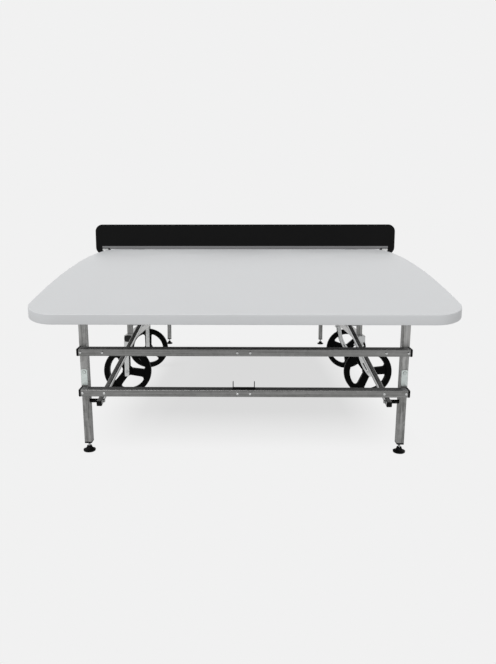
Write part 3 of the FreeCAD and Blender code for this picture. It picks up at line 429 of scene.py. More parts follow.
def below(tree, way, level, place=None):
    """One below a level along a direction and none above it, with a narrow blend between."""
    start = level - BLEND / 2
    return spread(tree, reach_along(tree, way, place), start, start + BLEND, to_low=1.0, to_high=0.0)


# Node groups that several finishes share

def start_group(name, given, results):
    """A new node group with one input, given by name and kind, and numbers as its results."""
    group = bpy.data.node_groups.new(name, "ShaderNodeTree")
    label, kind = given
    group.interface.new_socket(name=label, in_out="INPUT", socket_type="NodeSocket" + kind)
    for result in results:
        group.interface.new_socket(name=result, in_out="OUTPUT", socket_type="NodeSocketFloat")
    first = group.nodes.new("NodeGroupInput")
    last = group.nodes.new("NodeGroupOutput")
    return group, first.outputs[label], last.inputs


def streak_group(name):
    """Streaks left by rolling and drawing a tube, with finer flecks: noise stretched along the tube."""
    group, stretch, results = start_group(name, ("Stretch", "Vector"), ["Streaks", "Flecks"])
    place = add_node(group, "Mapping", Vector=object_place(group), Scale=stretch).outputs["Vector"]
    broad = noise(group, place, Scale=1.0, Detail=3.0, Roughness=0.55)
    fine = noise(group, place, Scale=4.3, Detail=5.0, Roughness=0.65)
    blend = mix(group, share=0.35, first=broad, second=fine, kind="FLOAT")
    feed(group, results, Streaks=spread(group, blend, low=0.34, high=0.66),
         Flecks=spread(group, fine, low=0.3, high=0.7))
    return group


def spangle_group(name):
    """Crystal patches of a zinc coat: random levels in cells whose borders are shaken by noise."""
    group, scale, results = start_group(name, ("Scale", "Float"), ["Spangle"])
    reach = (0.006, 0.006, 0.006)
    place = object_place(group)
    shake = add_node(group, "TexNoise", Vector=place, Scale=90.0, Detail=2.0).outputs["Color"]
    shaken = add_node(group, "VectorMath", shake, reach, place, operation="MULTIPLY_ADD").outputs[0]
    cells = add_node(group, "TexVoronoi", Vector=shaken, Scale=scale).outputs["Color"]
    feed(group, results, Spangle=add_node(group, "RGBToBW", Color=cells).outputs[0])
    return group


def grain_group(name):
    """Moulded surface: a fine grain for the relief, and broad soft patches for colour and gloss."""
    group, scale, results = start_group(name, ("Scale", "Float"), ["Grain", "Patches"])
    place = object_place(group)
    broad = noise(group, place, Scale=3.5, Detail=4.0, Roughness=0.55)
    feed(group, results, Grain=noise(group, place, Scale=scale, Detail=3.0, Roughness=0.6),
         Patches=spread(group, broad, low=0.3, high=0.7))
    return group


GROUP_MAKERS = {"Rolled streaks": streak_group, "Zinc spangle": spangle_group, "Moulded grain": grain_group}


def place_group(tree, name, **inputs):
    """Outputs of a shared node group, which is made at its first use."""
    node = tree.nodes.new("ShaderNodeGroup")
    node.node_tree = bpy.data.node_groups.get(name) or GROUP_MAKERS[name](name)
    feed(tree, node.inputs, **inputs)
    return node.outputs


# Finishes

# How far the painted shade on the rails' tops reaches down their fronts
UPPER_SHADE_DROP = 0.0043
LOWER_SHADE_DROP = 0.0035

# The painted highlight on a brace: how far round its inner side, and its lower edge above the brace's axis
HIGHLIGHT_DEPTH = 0.0009
HIGHLIGHT_HEIGHT = 0.0015

# Distance from a brace at which a bolt's bright head begins
HEAD_GAP = 0.0004

# Height at which the channel's upper lip begins: above it painted lighter as lit, below it painted darker
# as shade
LIP_HEIGHT = 0.769

# Screws of the leg plates: their drop below a plate's top, and the ring of painted shadow round them
SCREW_DROP = 0.0115
SHADOW_RING_INSIDE = 0.0052
SHADOW_RING_OUTSIDE = 0.0074

# Widths of softened edges
FITTING_EDGE = 0.001
WHEEL_EDGE = 0.002
NET_EDGE = 0.002


def start_material(name):
    """A new material, its tree and the inputs of its Principled shader."""
    material = bpy.data.materials.new(name)
    material.use_nodes = True
    return material, material.node_tree, material.node_tree.nodes["Principled BSDF"].inputs


def reopen(material):
    """Tree and shader inputs of a finished material, with the socket that gives its colour so far."""
    tree = material.node_tree
    inputs = tree.nodes["Principled BSDF"].inputs
    return tree, inputs, inputs["Base Color"].links[0].from_socket


def toned(tone, gain, tint=WHITE):
    """A plain colour made lighter or darker, with a cast."""
    return [min(1.0, gain * level * cast) for level, cast in zip(tone, tint)]


def stretched(axis, along, across):
    """How often a pattern repeats: seldom along an axis, often across it."""
    return [along if way == axis else across for way in (X, Y, Z)]


def moulded(name, tone, lighter=1.6, roughness=0.42, shine=0.1, grain_scale=700.0, grain_depth=0.0002):
    """Moulded surface: soft patches between two tones, uneven gloss and a fine grain."""
    material, tree, shader = start_material(name)
    grain = place_group(tree, "Moulded grain", Scale=grain_scale)
    patches = grain["Patches"]
    feed(tree, shader, Specular_IOR_Level=shine,
         Base_Color=mix(tree, patches, tone, toned(tone, lighter)),
         Roughness=spread(tree, patches, to_low=roughness - 0.04, to_high=roughness + 0.05),
         Normal=relief(tree, grain["Grain"], strength=0.35, depth=grain_depth))
    return material


def galvanised(name, axis, gain, along=2.5, across=170.0, contrast=0.0, matt=0.0):
    """Galvanised tube: streaks along its axis, sharpened by a contrast, with crystal patches."""
    material, tree, shader = start_material(name)
    finish = settings().finish
    streak = place_group(tree, "Rolled streaks", Stretch=stretched(axis, along, across))
    spangle = place_group(tree, "Zinc spangle", Scale=75.0)["Spangle"]
    share = mix(tree, share=0.22, first=streak["Streaks"], second=spangle, kind="FLOAT")
    share = spread(tree, share, low=contrast, high=1.0 - contrast)
    feed(tree, shader, Metallic=1.0,
         Base_Color=mix(tree, share, toned(finish.steel_dark, gain), toned(finish.steel_light, gain)),
         Roughness=spread(tree, streak["Flecks"], to_low=0.20 + matt, to_high=0.36 + matt),
         Normal=relief(tree, streak["Flecks"], strength=0.12, depth=0.0004))
    return material


def leg_steel(name):
    """Satin galvanised upright with long plain streaks, painted lighter towards its top as light."""
    material = galvanised(name, Z, gain=0.93, along=0.8, across=110.0, contrast=0.22, matt=0.22)
    tree, shader, tone = reopen(material)
    # Painted light: the upright grows lighter towards its top
    rise = spread(tree, reach_along(tree, ALONG[Z]), LEG_LOW.z, LEG_HIGH.z, to_low=0.9, to_high=1.4)
    feed(tree, shader, Base_Color=scaled(tree, tone, rise))
    return material


def rail_steel(name, node, shade_drop, gain):
    """Galvanised rail whose upper face is rougher and painted dark as the board's shade, painted less dark
    before the legs.
    """
    material = galvanised(name, X, gain=0.78)
    tree, shader, tone = reopen(material)
    finish = settings().finish
    # Painted shade: the upper face is darkened as the board's shade, less so beyond the legs
    front = below(tree, ALONG[Z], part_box(node)[1].z - shade_drop)
    between = below(tree, ALONG[X], LEG_LOW.x)
    dark_tone = mix(tree, between, toned(finish.lighter_painted_shade, gain), toned(finish.dark_tone, gain))
    gloss = shader["Roughness"].links[0].from_socket
    matt = spread(tree, front, to_low=0.7, to_high=0.0)
    feed(tree, shader, Base_Color=mix(tree, front, dark_tone, tone),
         Roughness=add_node(tree, "Math", gloss, matt, operation="MAXIMUM").outputs[0])
    return material


def brace_rise():
    """Direction that rises square to the braces, in folded places, and how far along it their axis lies."""
    hinges = [joint for joint in frame["joints"] if joint["type"] == "hinge"]
    pivots = {joint["name"]: np.abs(joint["pos_m"]) for joint in hinges}
    run = pivots["front_leg_fold"] - pivots["front_fold"]
    rise = np.array([0.0, -run[Z], run[Y]]) / np.linalg.norm(run)
    return rise, rise @ pivots["front_brace_swing"]


def brace_steel(name):
    """Dim galvanised tube with a painted highlight along the upper part of its inner side."""
    material = galvanised(name, Y, gain=0.7)
    tree, shader, dark_tone = reopen(material)
    rise, axis = brace_rise()
    # Painted highlight: the upper part of the inner side takes the lighter zinc tone
    inner = below(tree, ALONG[X], BRACE_INSIDE + HIGHLIGHT_DEPTH)
    lower = below(tree, rise, axis + HIGHLIGHT_HEIGHT)
    bright = mix(tree, lower, settings().finish.zinc_dark, dark_tone)
    feed(tree, shader, Base_Color=mix(tree, inner, dark_tone, bright))
    return material


def part_metal(name, metal, shine, way, level, find_place=folded_place):
    """Black plastic, with bare metal below a level along a direction."""
    material = moulded(name, settings().finish.plastic, shine=shine)
    tree, shader, black = reopen(material)
    share = below(tree, way, level, find_place(tree))
    feed(tree, shader, Base_Color=mix(tree, share, black, metal), Metallic=share)
    return material


def bright_zinc(name, gain=1.0, tint=WHITE):
    """Bright zinc plate on pressed steel: light patches, small flecks, fairly glossy."""
    material, tree, shader = start_material(name)
    finish = settings().finish
    spangle = place_group(tree, "Zinc spangle", Scale=160.0)["Spangle"]
    grain = place_group(tree, "Moulded grain", Scale=420.0)
    share = mix(tree, share=0.5, first=spangle, second=grain["Patches"], kind="FLOAT")
    dark = toned(finish.zinc_dark, gain, tint)
    light = toned(finish.zinc_light, gain, tint)
    feed(tree, shader, Metallic=0.85, Base_Color=mix(tree, share, dark, light),
         Roughness=spread(tree, spangle, to_low=0.26, to_high=0.40),
         Normal=relief(tree, grain["Grain"], strength=0.15, depth=0.0003))
    return material


def plate_zinc(name):
    """Zinc of the leg plates, with a painted shadow round each screw: a dark ring in X and Z about it."""
    finish = settings().finish
    material = bright_zinc(name, tint=finish.plate_tint)
    tree, shader, zinc = reopen(material)
    screw = ((LEG_LOW.x + LEG_HIGH.x) / 2, 0.0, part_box("front_leg_plates")[1].z - SCREW_DROP)
    flat = add_node(tree, "VectorMath", folded_place(tree), ALONG[X] + ALONG[Z], operation="MULTIPLY")
    reach = add_node(tree, "VectorMath", flat.outputs[0], screw, operation="DISTANCE").outputs["Value"]
    middle = (SHADOW_RING_INSIDE + SHADOW_RING_OUTSIDE) / 2
    # Painted shadow: a dark ring round each screw
    inner = mix(tree, spread(tree, reach, SHADOW_RING_INSIDE, middle), zinc, finish.steel_dark)
    outer = mix(tree, spread(tree, reach, middle, SHADOW_RING_OUTSIDE), inner, zinc)
    feed(tree, shader, Base_Color=outer)
    return material


def brushed_aluminium(name):
    """Extruded channel with fine lines along it, painted darker below its upper lip as shade, the lip
    painted lighter as lit.
    """
    material, tree, shader = start_material(name)
    finish = settings().finish
    streak = place_group(tree, "Rolled streaks", Stretch=stretched(X, along=2.0, across=900.0))
    # Painted light and shade: lighter lip above, darker channel below
    lower = below(tree, ALONG[Z], LIP_HEIGHT)
    tone = mix(tree, lower, finish.channel_lip, finish.channel)
    shade = spread(tree, streak["Streaks"], to_low=0.85, to_high=1.15)
    feed(tree, shader, Metallic=1.0, Base_Color=scaled(tree, tone, shade),
         Roughness=spread(tree, streak["Flecks"], to_low=0.28, to_high=0.42))
    return material


def dress(material, *names):
    """Give CAD nodes a finish in place of their plain one."""
    for name in names:
        NODES[name].material_slots[0].material = material


def soften(width, *names):
    """Round the sharp edges of CAD nodes a little, after joining their doubled points."""
    for name in names:
        weld = NODES[name].modifiers.new("join", "WELD")
        weld.merge_threshold = MERGE_DISTANCE
        bevel = NODES[name].modifiers.new("soften", "BEVEL")
        bevel.width = width
        bevel.segments = 2
        bevel.limit_method = "ANGLE"
        bevel.angle_limit = SHARP_ANGLE


# Arched boards

CORNER_STEPS = 9
SIDE_STEPS = 44
EDGE_STEPS = 7


def arch_height(y, depth):
    """Height of the arch at y, or of the parallel arc that lies depth below it."""
    size = settings().board
    half = -BOARD_LOW.y
    radius = (half ** 2 + size.end_drop ** 2) / (2 * size.end_drop)
    return size.height - radius + np.sqrt((radius - depth) ** 2 - y ** 2)


def plan_side(corner, along, run, radius, next_radius):
    """One side of the board's plan: half a corner arc, a straight, and half of the next corner's arc."""
    outward = np.array([along[1], -along[0]])
    outward_angle = math.degrees(math.atan2(outward[1], outward[0]))
    first = corner + radius * (along - outward)
    second = corner + run * along - next_radius * (along + outward)
    begin = arc(outward_angle - 45, outward_angle, *first, radius, CORNER_STEPS)
    end = arc(outward_angle, outward_angle + 45, *second, next_radius, CORNER_STEPS)
    share = np.linspace(0, 1, SIDE_STEPS + 1)[1:-1, None]
    straight = begin[-1] + share * (end[0] - begin[-1])
    return np.concatenate([begin, straight, end])


def plan_sides(inset):
    """The four sides of the rounded plan, drawn in by the inset: outer edge, right, seam edge, left."""
    size = settings().board
    half = BOARD_HIGH.x - inset
    outer = BOARD_LOW.y + inset
    seam = BOARD_HIGH.y - inset
    big = max(size.outer_corner - inset, size.edge_round)
    small = max(size.seam_corner - inset, size.edge_round)
    corners = [(-half, outer, big), (half, outer, big), (half, seam, small), (-half, seam, small)]
    sides = []
    for index, (x, y, radius) in enumerate(corners):
        next_x, next_y, next_radius = corners[(index + 1) % 4]
        run = math.hypot(next_x - x, next_y - y)
        along = np.array([next_x - x, next_y - y]) / run
        sides.append(plan_side(np.array([x, y]), along, run, radius, next_radius))
    return sides


def plan_ring(inset):
    """The whole outline as one closed ring of points."""
    return np.concatenate([side[:-1] for side in plan_sides(inset)])


def share_along(curve):
    """Share of a curve's length at each of its points."""
    step = np.linalg.norm(np.diff(curve, axis=0), axis=1)
    reached = np.concatenate([[0.0], np.cumsum(step)])
    return reached / reached[-1]


def plan_patch(inset):
    """Grid that fills the outline: sides opposite each other are blended, less the blend of the corners."""
    outer, right, seam, left = plan_sides(inset)
    seam = seam[::-1]
    left = left[::-1]
    u = share_along(outer)[None, :, None]
    v = share_along(right)[:, None, None]
    ruled = (1 - v) * outer[None] + v * seam[None] + (1 - u) * left[:, None] + u * right[:, None]
    corner = (1 - v) * ((1 - u) * outer[0] + u * outer[-1]) + v * ((1 - u) * seam[0] + u * seam[-1])
    return ruled - corner


def rim_profile():
    """Section of the rim as (inset, depth): over the edge, down, under, and up to the underside."""
    size = settings().board
    edge = size.edge_round
    low = size.sole_round
    support = edge / 2
    over = arc(90, 180, edge, -edge, edge, EDGE_STEPS)
    under = arc(180, 270, low, -size.rim_depth + low, low, EDGE_STEPS)
    inner = arc(270, 360, size.rim_width - low, -size.rim_depth + low, low, EDGE_STEPS)
    hollow = arc(180, 90, size.rim_width + low, -size.skin - low, low, EDGE_STEPS)
    first = [[edge + support, 0.0]]
    last = [[size.rim_width + low + support, -size.skin]]
    section = np.concatenate([first, over, under, inner, hollow, last])
    return section * (1.0, -1.0)


def lifted(plan, depth, mirror):
    """Plan points raised to the arch, or to the parallel arc below it."""
    x = plan[..., 0]
    y = plan[..., 1]
    return np.stack([x, mirror * y, arch_height(y, depth)], axis=-1)


def board_surfaces(mirror):
    """Playing surface, rim and underside of one half; the rim is its section carried round the outline."""
    profile = rim_profile()
    top = lifted(plan_patch(profile[0, 0]), 0.0, mirror)
    rim = np.stack([lifted(plan_ring(inset), depth, mirror) for inset, depth in profile])
    under = lifted(plan_patch(profile[-1, 0]), profile[-1, 1], mirror)
    turn_under = len(profile) // 2
    return [Surface(top, closed=False), Surface(rim[:turn_under]),
            Surface(rim[turn_under - 1:], finish=1), Surface(under, closed=False, finish=1)]


class GAMETABLE_OT_boards(Operator):
    """Arched boards with rounded rims and a dark underside, in place of the plain ones"""
    bl_idname = "gametable.boards"
    bl_label = "Boards"

    def execute(self, context):
        finish = settings().finish
        surface = moulded("board_surface", finish.board, lighter=1.03, roughness=0.38, shine=0.4,
                          grain_scale=900.0, grain_depth=0.00012)
        # Near black underside: painted shade, mirrored by the steel below
        backing = moulded("board_backing", finish.backing, lighter=1.5, roughness=0.6, shine=0.3,
                          grain_scale=500.0, grain_depth=0.0003)
        for end, mirror in zip(ENDS, (1, -1)):
            make_piece(end + "_playing_board", board_surfaces(mirror), [surface, backing], end + "_top",
                       [end + "_board"])
        return {"FINISHED"}


# Steel of the top, the legs and the carriage, with its welds

BEAD_SEGMENTS = 10
BEND_STEPS = 6
STEPS_PER_RIPPLE = 6


def tube_outline(half_x, half_y, corner, step):
    """Rounded rectangle about the origin, as evenly spaced points."""
    x = half_x - corner
    y = half_y - corner
    corners = [(x, y, 0), (-x, y, 90), (-x, -y, 180), (x, -y, 270)]
    bends = [arc(turn, turn + 90, *middle, corner, BEND_STEPS) for *middle, turn in corners]
    closed = np.concatenate(bends + [bends[0][:1]])
    reached = share_along(closed)
    count = int(4 * (half_x + half_y) / step)
    share = np.linspace(0, 1, count + 1)
    return np.stack([np.interp(share, reached, closed[:, axis]) for axis in (X, Y)], axis=-1)


def weld_bead(size, half_x, half_y):
    """Rippled bead round a tube: a circle, whose radius pulses along the way, carried round the outline."""
    path = tube_outline(half_x, half_y, size.corner, size.pitch / STEPS_PER_RIPPLE)
    run = np.gradient(path, axis=0)
    run[0] = run[-1] = path[1] - path[-2]
    out = np.stack([run[:, 1], -run[:, 0]], axis=-1) / np.linalg.norm(run, axis=1)[:, None]
    ripples = round(4 * (half_x + half_y) / size.pitch)
    pulse = np.abs(np.sin(math.pi * ripples * share_along(path)))
    radius = (size.radius - size.ripple + size.ripple * pulse)[:, None]
    angle = whole_turn(BEAD_SEGMENTS)[None, :]
    flat = path[:, None, :] + (radius * np.cos(angle))[:, :, None] * out[:, None, :]
    return np.concatenate([flat, (radius * np.sin(angle))[:, :, None]], axis=-1)


def weld_surfaces():
    """Beads at the feet of all posts and, turned to face along X, at both ends of the cross tubes."""
    size = settings().weld
    beads = []
    for name in every("{end}_{side}_post"):
        low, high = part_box(name)
        half = (high - low) / 2
        beads.append(weld_bead(size, half.x, half.y) + (low.x + half.x, low.y + half.y, low.z))
    for side in SIDES:
        low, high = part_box(side + "_net_post")
        beads.append(weld_bead(size, high.y, high.y) + ((low.x + high.x) / 2, 0.0, low.z))
    low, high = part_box("cross_tubes")
    facing_x = weld_bead(size, high.y, high.y)[..., (Z, X, Y)]
    for x in (low.x, high.x):
        beads += [facing_x + (x, 0.0, z) for z in (low.z + high.y, high.z - high.y)]
    return [Surface(bead) for bead in beads]


class GAMETABLE_OT_steelwork(Operator):
    """Galvanised finish for every tube, with its streaks along the tube, and the carriage's welds"""
    bl_idname = "gametable.steelwork"
    bl_label = "Steelwork"

    def execute(self, context):
        # Each rail's painted shade on its upper face has its own level
        upper = rail_steel("galvanised_upper_rail", "front_upper_rail", UPPER_SHADE_DROP, gain=2.2)
        lower = rail_steel("galvanised_lower_rail", "front_lower_rail", LOWER_SHADE_DROP, gain=1.3)
        dress(upper, *every("{end}_upper_rail"))
        dress(lower, *every("{end}_lower_rail"))
        dress(galvanised("galvanised_crossbar", X, gain=0.75), "cross_tubes", *every("{end}_crossbars"))
        dress(galvanised("galvanised_beam", Y, gain=1.35), "left_side_beam", "right_side_beam",
              *every("{end}_{side}_runner"))
        dress(brace_steel("galvanised_brace"), *every("{end}_{side}_brace"))
        dress(leg_steel("galvanised_leg"), "left_net_post", "right_net_post",
              *every("{end}_{side}_post", "{end}_{side}_leg"))
        make_piece("carriage_welds", weld_surfaces(), [bright_zinc("weld_zinc", gain=0.75)], "carriage")
        return {"FINISHED"}


# Fittings

class GAMETABLE_OT_fittings(Operator):
    """Bright zinc fittings and black moulded plugs, wheels and straps"""
    bl_idname = "gametable.fittings"
    bl_label = "Fittings"

    def execute(self, context):
        finish = settings().finish
        tone = finish.plastic
        wheels = every("{end}_{side}_wheel")
        # Steel on the right-hand beam only, and on the braces' inner side
        beam = part_metal("beam_plug", finish.zinc_dark, shine=0.3, way=-ALONG[X], level=0.0,
                          find_place=object_place)
        brace = part_metal("brace_fitting", finish.steel_light, shine=0.1, way=ALONG[X],
                           level=BRACE_INSIDE - HEAD_GAP)
        tyre = moulded("wheel_black", tone, lighter=1.5, roughness=0.5, shine=0.05, grain_scale=450.0,
                       grain_depth=0.0003)
        dress(bright_zinc("fork_zinc", gain=0.91), *every("{end}_{side}_fork"))
        dress(plate_zinc("plate_zinc"), *every("{end}_leg_plates"))
        dress(bright_zinc("bolt_zinc", gain=0.7), "pivot_pins", "fixed_axles", "swivel_sockets",
              *every("{end}_right_axle"))
        dress(beam, "beam_end_caps")
        dress(moulded("black_plug", tone), *every("{end}_end_caps", "{end}_stirrup"))
        dress(brace, *every("{end}_brace_fittings"))
        dress(tyre, *wheels)
        soften(FITTING_EDGE, *every("{end}_{side}_fork", "{end}_leg_plates", "{end}_stirrup"))
        soften(WHEEL_EDGE, *wheels)
        return {"FINISHED"}


# Lips of the rails' end caps

def rail_section(node):
    """Outline of a rail in Y and Z: the hull of its points at one end."""
    flat = np.empty(3 * len(node.data.vertices), np.float32)
    node.data.vertices.foreach_get("co", flat)
    points = flat.reshape(-1, 3)
    face = points[points[:, X] > points[:, X].max() - MERGE_DISTANCE][:, Y:]
    return face[convex_hull_2d(face.tolist())]


def cap_lip(size, section, rail_end, way):
    """Lip over the end of a rail: its outline, grown a little away from its middle, carried along X."""
    middle = (section.max(axis=0) + section.min(axis=0)) / 2
    arm = section - middle
    grown = middle + arm * (1 + size.lip_rise / np.linalg.norm(arm, axis=1)[:, None])
    start = rail_end - size.lip_length
    finish = rail_end + size.flange
    rings = [(section, way * start), (grown, way * (start + size.lip_rise)),
             (grown, way * (finish - size.lip_rise)), (section, way * finish)]
    return carried(rings, X)


class GAMETABLE_OT_cap_lips(Operator):
    """Lips of the black caps, which reach over the ends of the rails"""
    bl_idname = "gametable.cap_lips"
    bl_label = "Cap lips"

    def execute(self, context):
        size = settings().cap
        black = moulded("cap_black", settings().finish.plastic, roughness=0.5, shine=0.09)
        for end in ENDS:
            lips = []
            for rail in (end + "_upper_rail", end + "_lower_rail"):
                section = rail_section(NODES[rail])
                rail_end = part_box(rail)[1].x
                lips += [Surface(cap_lip(size, section, rail_end, way), lids=True) for way in (-1.0, 1.0)]
            make_piece(end + "_rail_cap_lips", lips, [black], end + "_legs")
        return {"FINISHED"}


# Rail bolts

BOLT_SEGMENTS = 24
DOME_STEPS = 7
DOME_TOP = math.radians(68)

# Radius of the small lid that closes a turned piece at its axis
AXIS_GAP = 0.0004


def separate_solids(node):
    """Points of each separate solid of a CAD node, found by walking over a merged copy of its mesh."""
    work = bmesh.new()
    work.from_mesh(node.data)
    bmesh.ops.remove_doubles(work, verts=work.verts, dist=MERGE_DISTANCE)
    waiting = set(work.verts)
    solids = []
    while waiting:
        reached = [waiting.pop()]
        for vertex in reached:
            for edge in vertex.link_edges:
                other = edge.other_vert(vertex)
                if other in waiting:
                    waiting.remove(other)
                    reached.append(other)
        solids.append(np.array([vertex.co for vertex in reached]))
    work.free()
    return solids


def bolt_rows(size, reach):
    """Bolt about the upright axis, its crown at zero and its nut's end at -reach: domed head with a
    six-sided socket, shank and nut."""
    turn = np.linspace(DOME_TOP, 0, DOME_STEPS)
    rise = size.head_height - size.head_rim
    dome = np.stack([size.head_radius * np.cos(turn), rise * (np.sin(turn) - math.sin(DOME_TOP))], axis=-1)
    seat = dome[-1, 1] - size.head_rim
    nut_top = size.nut_height - reach
    socket = [[AXIS_GAP, -size.socket_depth], [size.socket_radius, -size.socket_depth],
              [size.socket_radius, 0.0]]
    shank = [[size.head_radius, seat], [size.shank_radius, seat], [size.shank_radius, nut_top]]
    nut = [[size.nut_radius, nut_top], [size.nut_radius, size.nut_chamfer - reach]]
    end = [[size.nut_face, -reach], [AXIS_GAP, -reach]]
    parts = ((socket, 1), (dome, 0), (shank, 0), (nut, 1), (end, 0))
    sides = np.concatenate([np.full(len(rows), six_sided) for rows, six_sided in parts])
    return turned(np.concatenate([rows for rows, six_sided in parts]), BOLT_SEGMENTS, sides)


def placed_bolt(size, solid, way):
    """Bolt turned onto the long axis of a plain one, with its head towards the given end of the table."""
    middle = (solid.max(axis=0) + solid.min(axis=0)) / 2
    axis = np.linalg.svd(solid - middle, full_matrices=False)[2][0]
    axis = axis * np.sign(axis[Y]) * way
    along = (solid - middle) @ axis
    basis = np.stack([ALONG[X], np.cross(axis, ALONG[X]), axis])
    return middle + along.max() * axis + bolt_rows(size, along.max() - along.min()) @ basis


class GAMETABLE_OT_bolts(Operator):
    """Domed bolts with nuts through the rails, in place of the plain ones"""
    bl_idname = "gametable.bolts"
    bl_label = "Rail bolts"

    def execute(self, context):
        size = settings().bolt
        zinc = bright_zinc("rail_bolt_zinc", gain=0.9)
        for end, way in zip(ENDS, (-1.0, 1.0)):
            node = end + "_rail_bolts"
            solids = separate_solids(NODES[node])
            bolts = [Surface(placed_bolt(size, solid, way), lids=True) for solid in solids]
            make_piece(end + "_rail_bolt_set", bolts, [zinc], end + "_legs", [node])
        return {"FINISHED"}


# Levelling feet

FOOT_SEGMENTS = 48
FLANK_STEPS = 10
SOLE_STEPS = 7
THREAD_SEGMENTS = 24
ROWS_PER_TURN = 6


def pad_profile(size, radius):
    """Bell section as (radius, height): sole, rounded edge, hollow flank, neck and the stem's seat."""
    sole = arc(-90, 0, 0.0, size.edge_low, size.edge_low, SOLE_STEPS)
    sole[:, 0] = size.sole_radius + sole[:, 0] * (radius - size.sole_radius) / size.edge_low
    edge = np.array([radius, size.edge_high])
    bend = np.array([size.bend_radius, size.bend_height])
    neck = np.array([size.neck_radius, size.pad_height])
    flank = bent(edge, bend, neck, FLANK_STEPS)
    seat = [[size.stem_radius, size.pad_height], [size.stem_radius, size.edge_high]]
    return np.concatenate([[[AXIS_GAP, 0.0]], sole, flank, seat, [[AXIS_GAP, size.edge_high]]])


def thread_rows(size, low, high):
    """Screw thread: the radius falls and rises as a zigzag of height less the turn about the stem."""
    turns = (high - low) / size.thread_pitch
    height = np.linspace(low, high, int(turns * ROWS_PER_TURN))[:, None]
    angle = whole_turn(THREAD_SEGMENTS)[None, :]
    phase = height / size.thread_pitch - angle / (2 * math.pi)
    zigzag = np.abs(2 * (phase % 1.0) - 1)
    return about_axis(size.stem_radius - size.thread_depth * zigzag, height, angle)


class GAMETABLE_OT_feet(Operator):
    """Bell-shaped foot pads on threaded stems, in place of the plain ones"""
    bl_idname = "gametable.feet"
    bl_label = "Feet"

    def execute(self, context):
        size = settings().foot
        rubber = moulded("foot_rubber", settings().finish.plastic, lighter=1.5, roughness=0.55, shine=0.08,
                         grain_scale=600.0, grain_depth=0.0003)
        thread = bright_zinc("stem_zinc")
        for corner in every("{end}_{side}"):
            node = corner + "_foot"
            body = corner + "_leveller"
            low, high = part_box(node)
            middle = (low + high) / 2
            place = (middle.x, middle.y, 0.0)
            pad = turned(pad_profile(size, high.x - middle.x), FOOT_SEGMENTS) + place
            stem = thread_rows(size, size.edge_high, high.z) + place
            make_piece(node + "_pad", [Surface(pad, lids=True)], [rubber], body, [node])
            make_piece(node + "_stem", [Surface(stem, lids=True)], [thread], body, [node])
        return {"FINISHED"}


# Net

CORNER_BENDS = 5


def rounded_section(corners, radius):
    """Closed polygon in X and Z with each corner bent along a parabola between points on its two sides."""
    corners = np.asarray(corners, float)
    points = []
    for index, corner in enumerate(corners):
        before = corners[index - 1] - corner
        after = corners[(index + 1) % len(corners)] - corner
        start = corner + radius * before / np.linalg.norm(before)
        finish = corner + radius * after / np.linalg.norm(after)
        points.append(bent(start, corner, finish, CORNER_BENDS))
    return np.concatenate(points)


def pressed(section, low, high, ease):
    """Section in X and Z carried along Y, drawn in a little at both ends."""
    middle = section.mean(axis=0)
    drawn = middle + (section - middle) * (1 - ease / np.abs(section - middle).max())
    return carried([(drawn, low), (section, low + ease), (section, high - ease), (drawn, high)], Y)


def clamp_sections(size, low, high):
    """Outlines of the right-hand clamp block and of the bent bracket above and inside it."""
    inner = high.x - size.clamp_length
    flange = inner - size.bracket_flange
    under = high.z - size.bracket_top
    block = [(inner, low.z), (high.x, low.z), (high.x, under), (inner, under)]
    bracket = [(flange, low.z), (inner, low.z), (inner, under), (high.x, under), (high.x, high.z),
               (flange, high.z)]
    return rounded_section(block, size.block_round), rounded_section(bracket, size.bracket_round)


class GAMETABLE_OT_net(Operator):
    """Net panel and its channel, with clamp blocks and bent brackets at both ends"""
    bl_idname = "gametable.net"
    bl_label = "Net"

    def execute(self, context):
        size = settings().net
        panel = moulded("net_panel_black", settings().finish.net, lighter=1.3, roughness=0.55, shine=0.09,
                        grain_scale=800.0)
        dress(panel, "net_panel")
        dress(brushed_aluminium("net_channel"), "net_rail")
        soften(NET_EDGE, "net_panel")
        low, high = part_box("net_clamps")
        pairs = []
        for section in clamp_sections(size, low, high):
            right = pressed(section, low.y, high.y, size.end_round)
            pairs.append([Surface(right * (way, 1.0, 1.0), lids=True) for way in (1.0, -1.0)])
        blocks, brackets = pairs
        make_piece("net_clamp_blocks", blocks, [bright_zinc("clamp_zinc", gain=0.8)], "net",
                   ["net_clamps"])
        make_piece("net_brackets", brackets, [panel], "net", ["net_clamps"])
        return {"FINISHED"}


# Stage

FLOOR_HALF = 60.0
FLOOR_LEVEL = -0.0004


def pale_share(tree):
    """One for rays that show the background itself: from the camera, mirrored or through glass."""
    path = add_node(tree, "LightPath").outputs
    shown = path["Is Camera Ray"]
    for name in ("Is Glossy Ray", "Is Transmission Ray"):
        shown = add_node(tree, "Math", shown, path[name], operation="MAXIMUM").outputs[0]
    return shown


def blend_shaders(tree, share, first, second, output):
    """Two shaders, blended by a share, as the surface of an output."""
    blend = add_node(tree, "MixShader", share, first.outputs[0], second.outputs[0])
    feed(tree, tree.nodes[output].inputs, Surface=blend.outputs[0])


def backdrop(stage):
    """World that lights evenly and shows the pale background to the camera and in reflections."""
    world = bpy.data.worlds.new("studio")
    bpy.context.scene.world = world
    world.use_nodes = True
    tree = world.node_tree
    lighting = tree.nodes["Background"]
    feed(tree, lighting.inputs, Color=WHITE, Strength=stage.sky_level)
    shown = add_node(tree, "Background", Color=stage.background, Strength=1.0)
    blend_shaders(tree, pale_share(tree), lighting, shown, "World Output")


def floor_share(tree, stage):
    """Share of plain background: the floor lift below the table, and one past a soft-edged rectangle."""
    inside = []
    for way in (X, Y):
        reach = reach_along(tree, ALONG[way])
        inside.append(spread(tree, reach, stage.shadow_reach[way], stage.shadow_end[way], 1.0, 0.0))
    kept = add_node(tree, "Math", *inside, operation="MULTIPLY").outputs[0]
    return spread(tree, kept, to_low=1.0, to_high=stage.floor_lift)


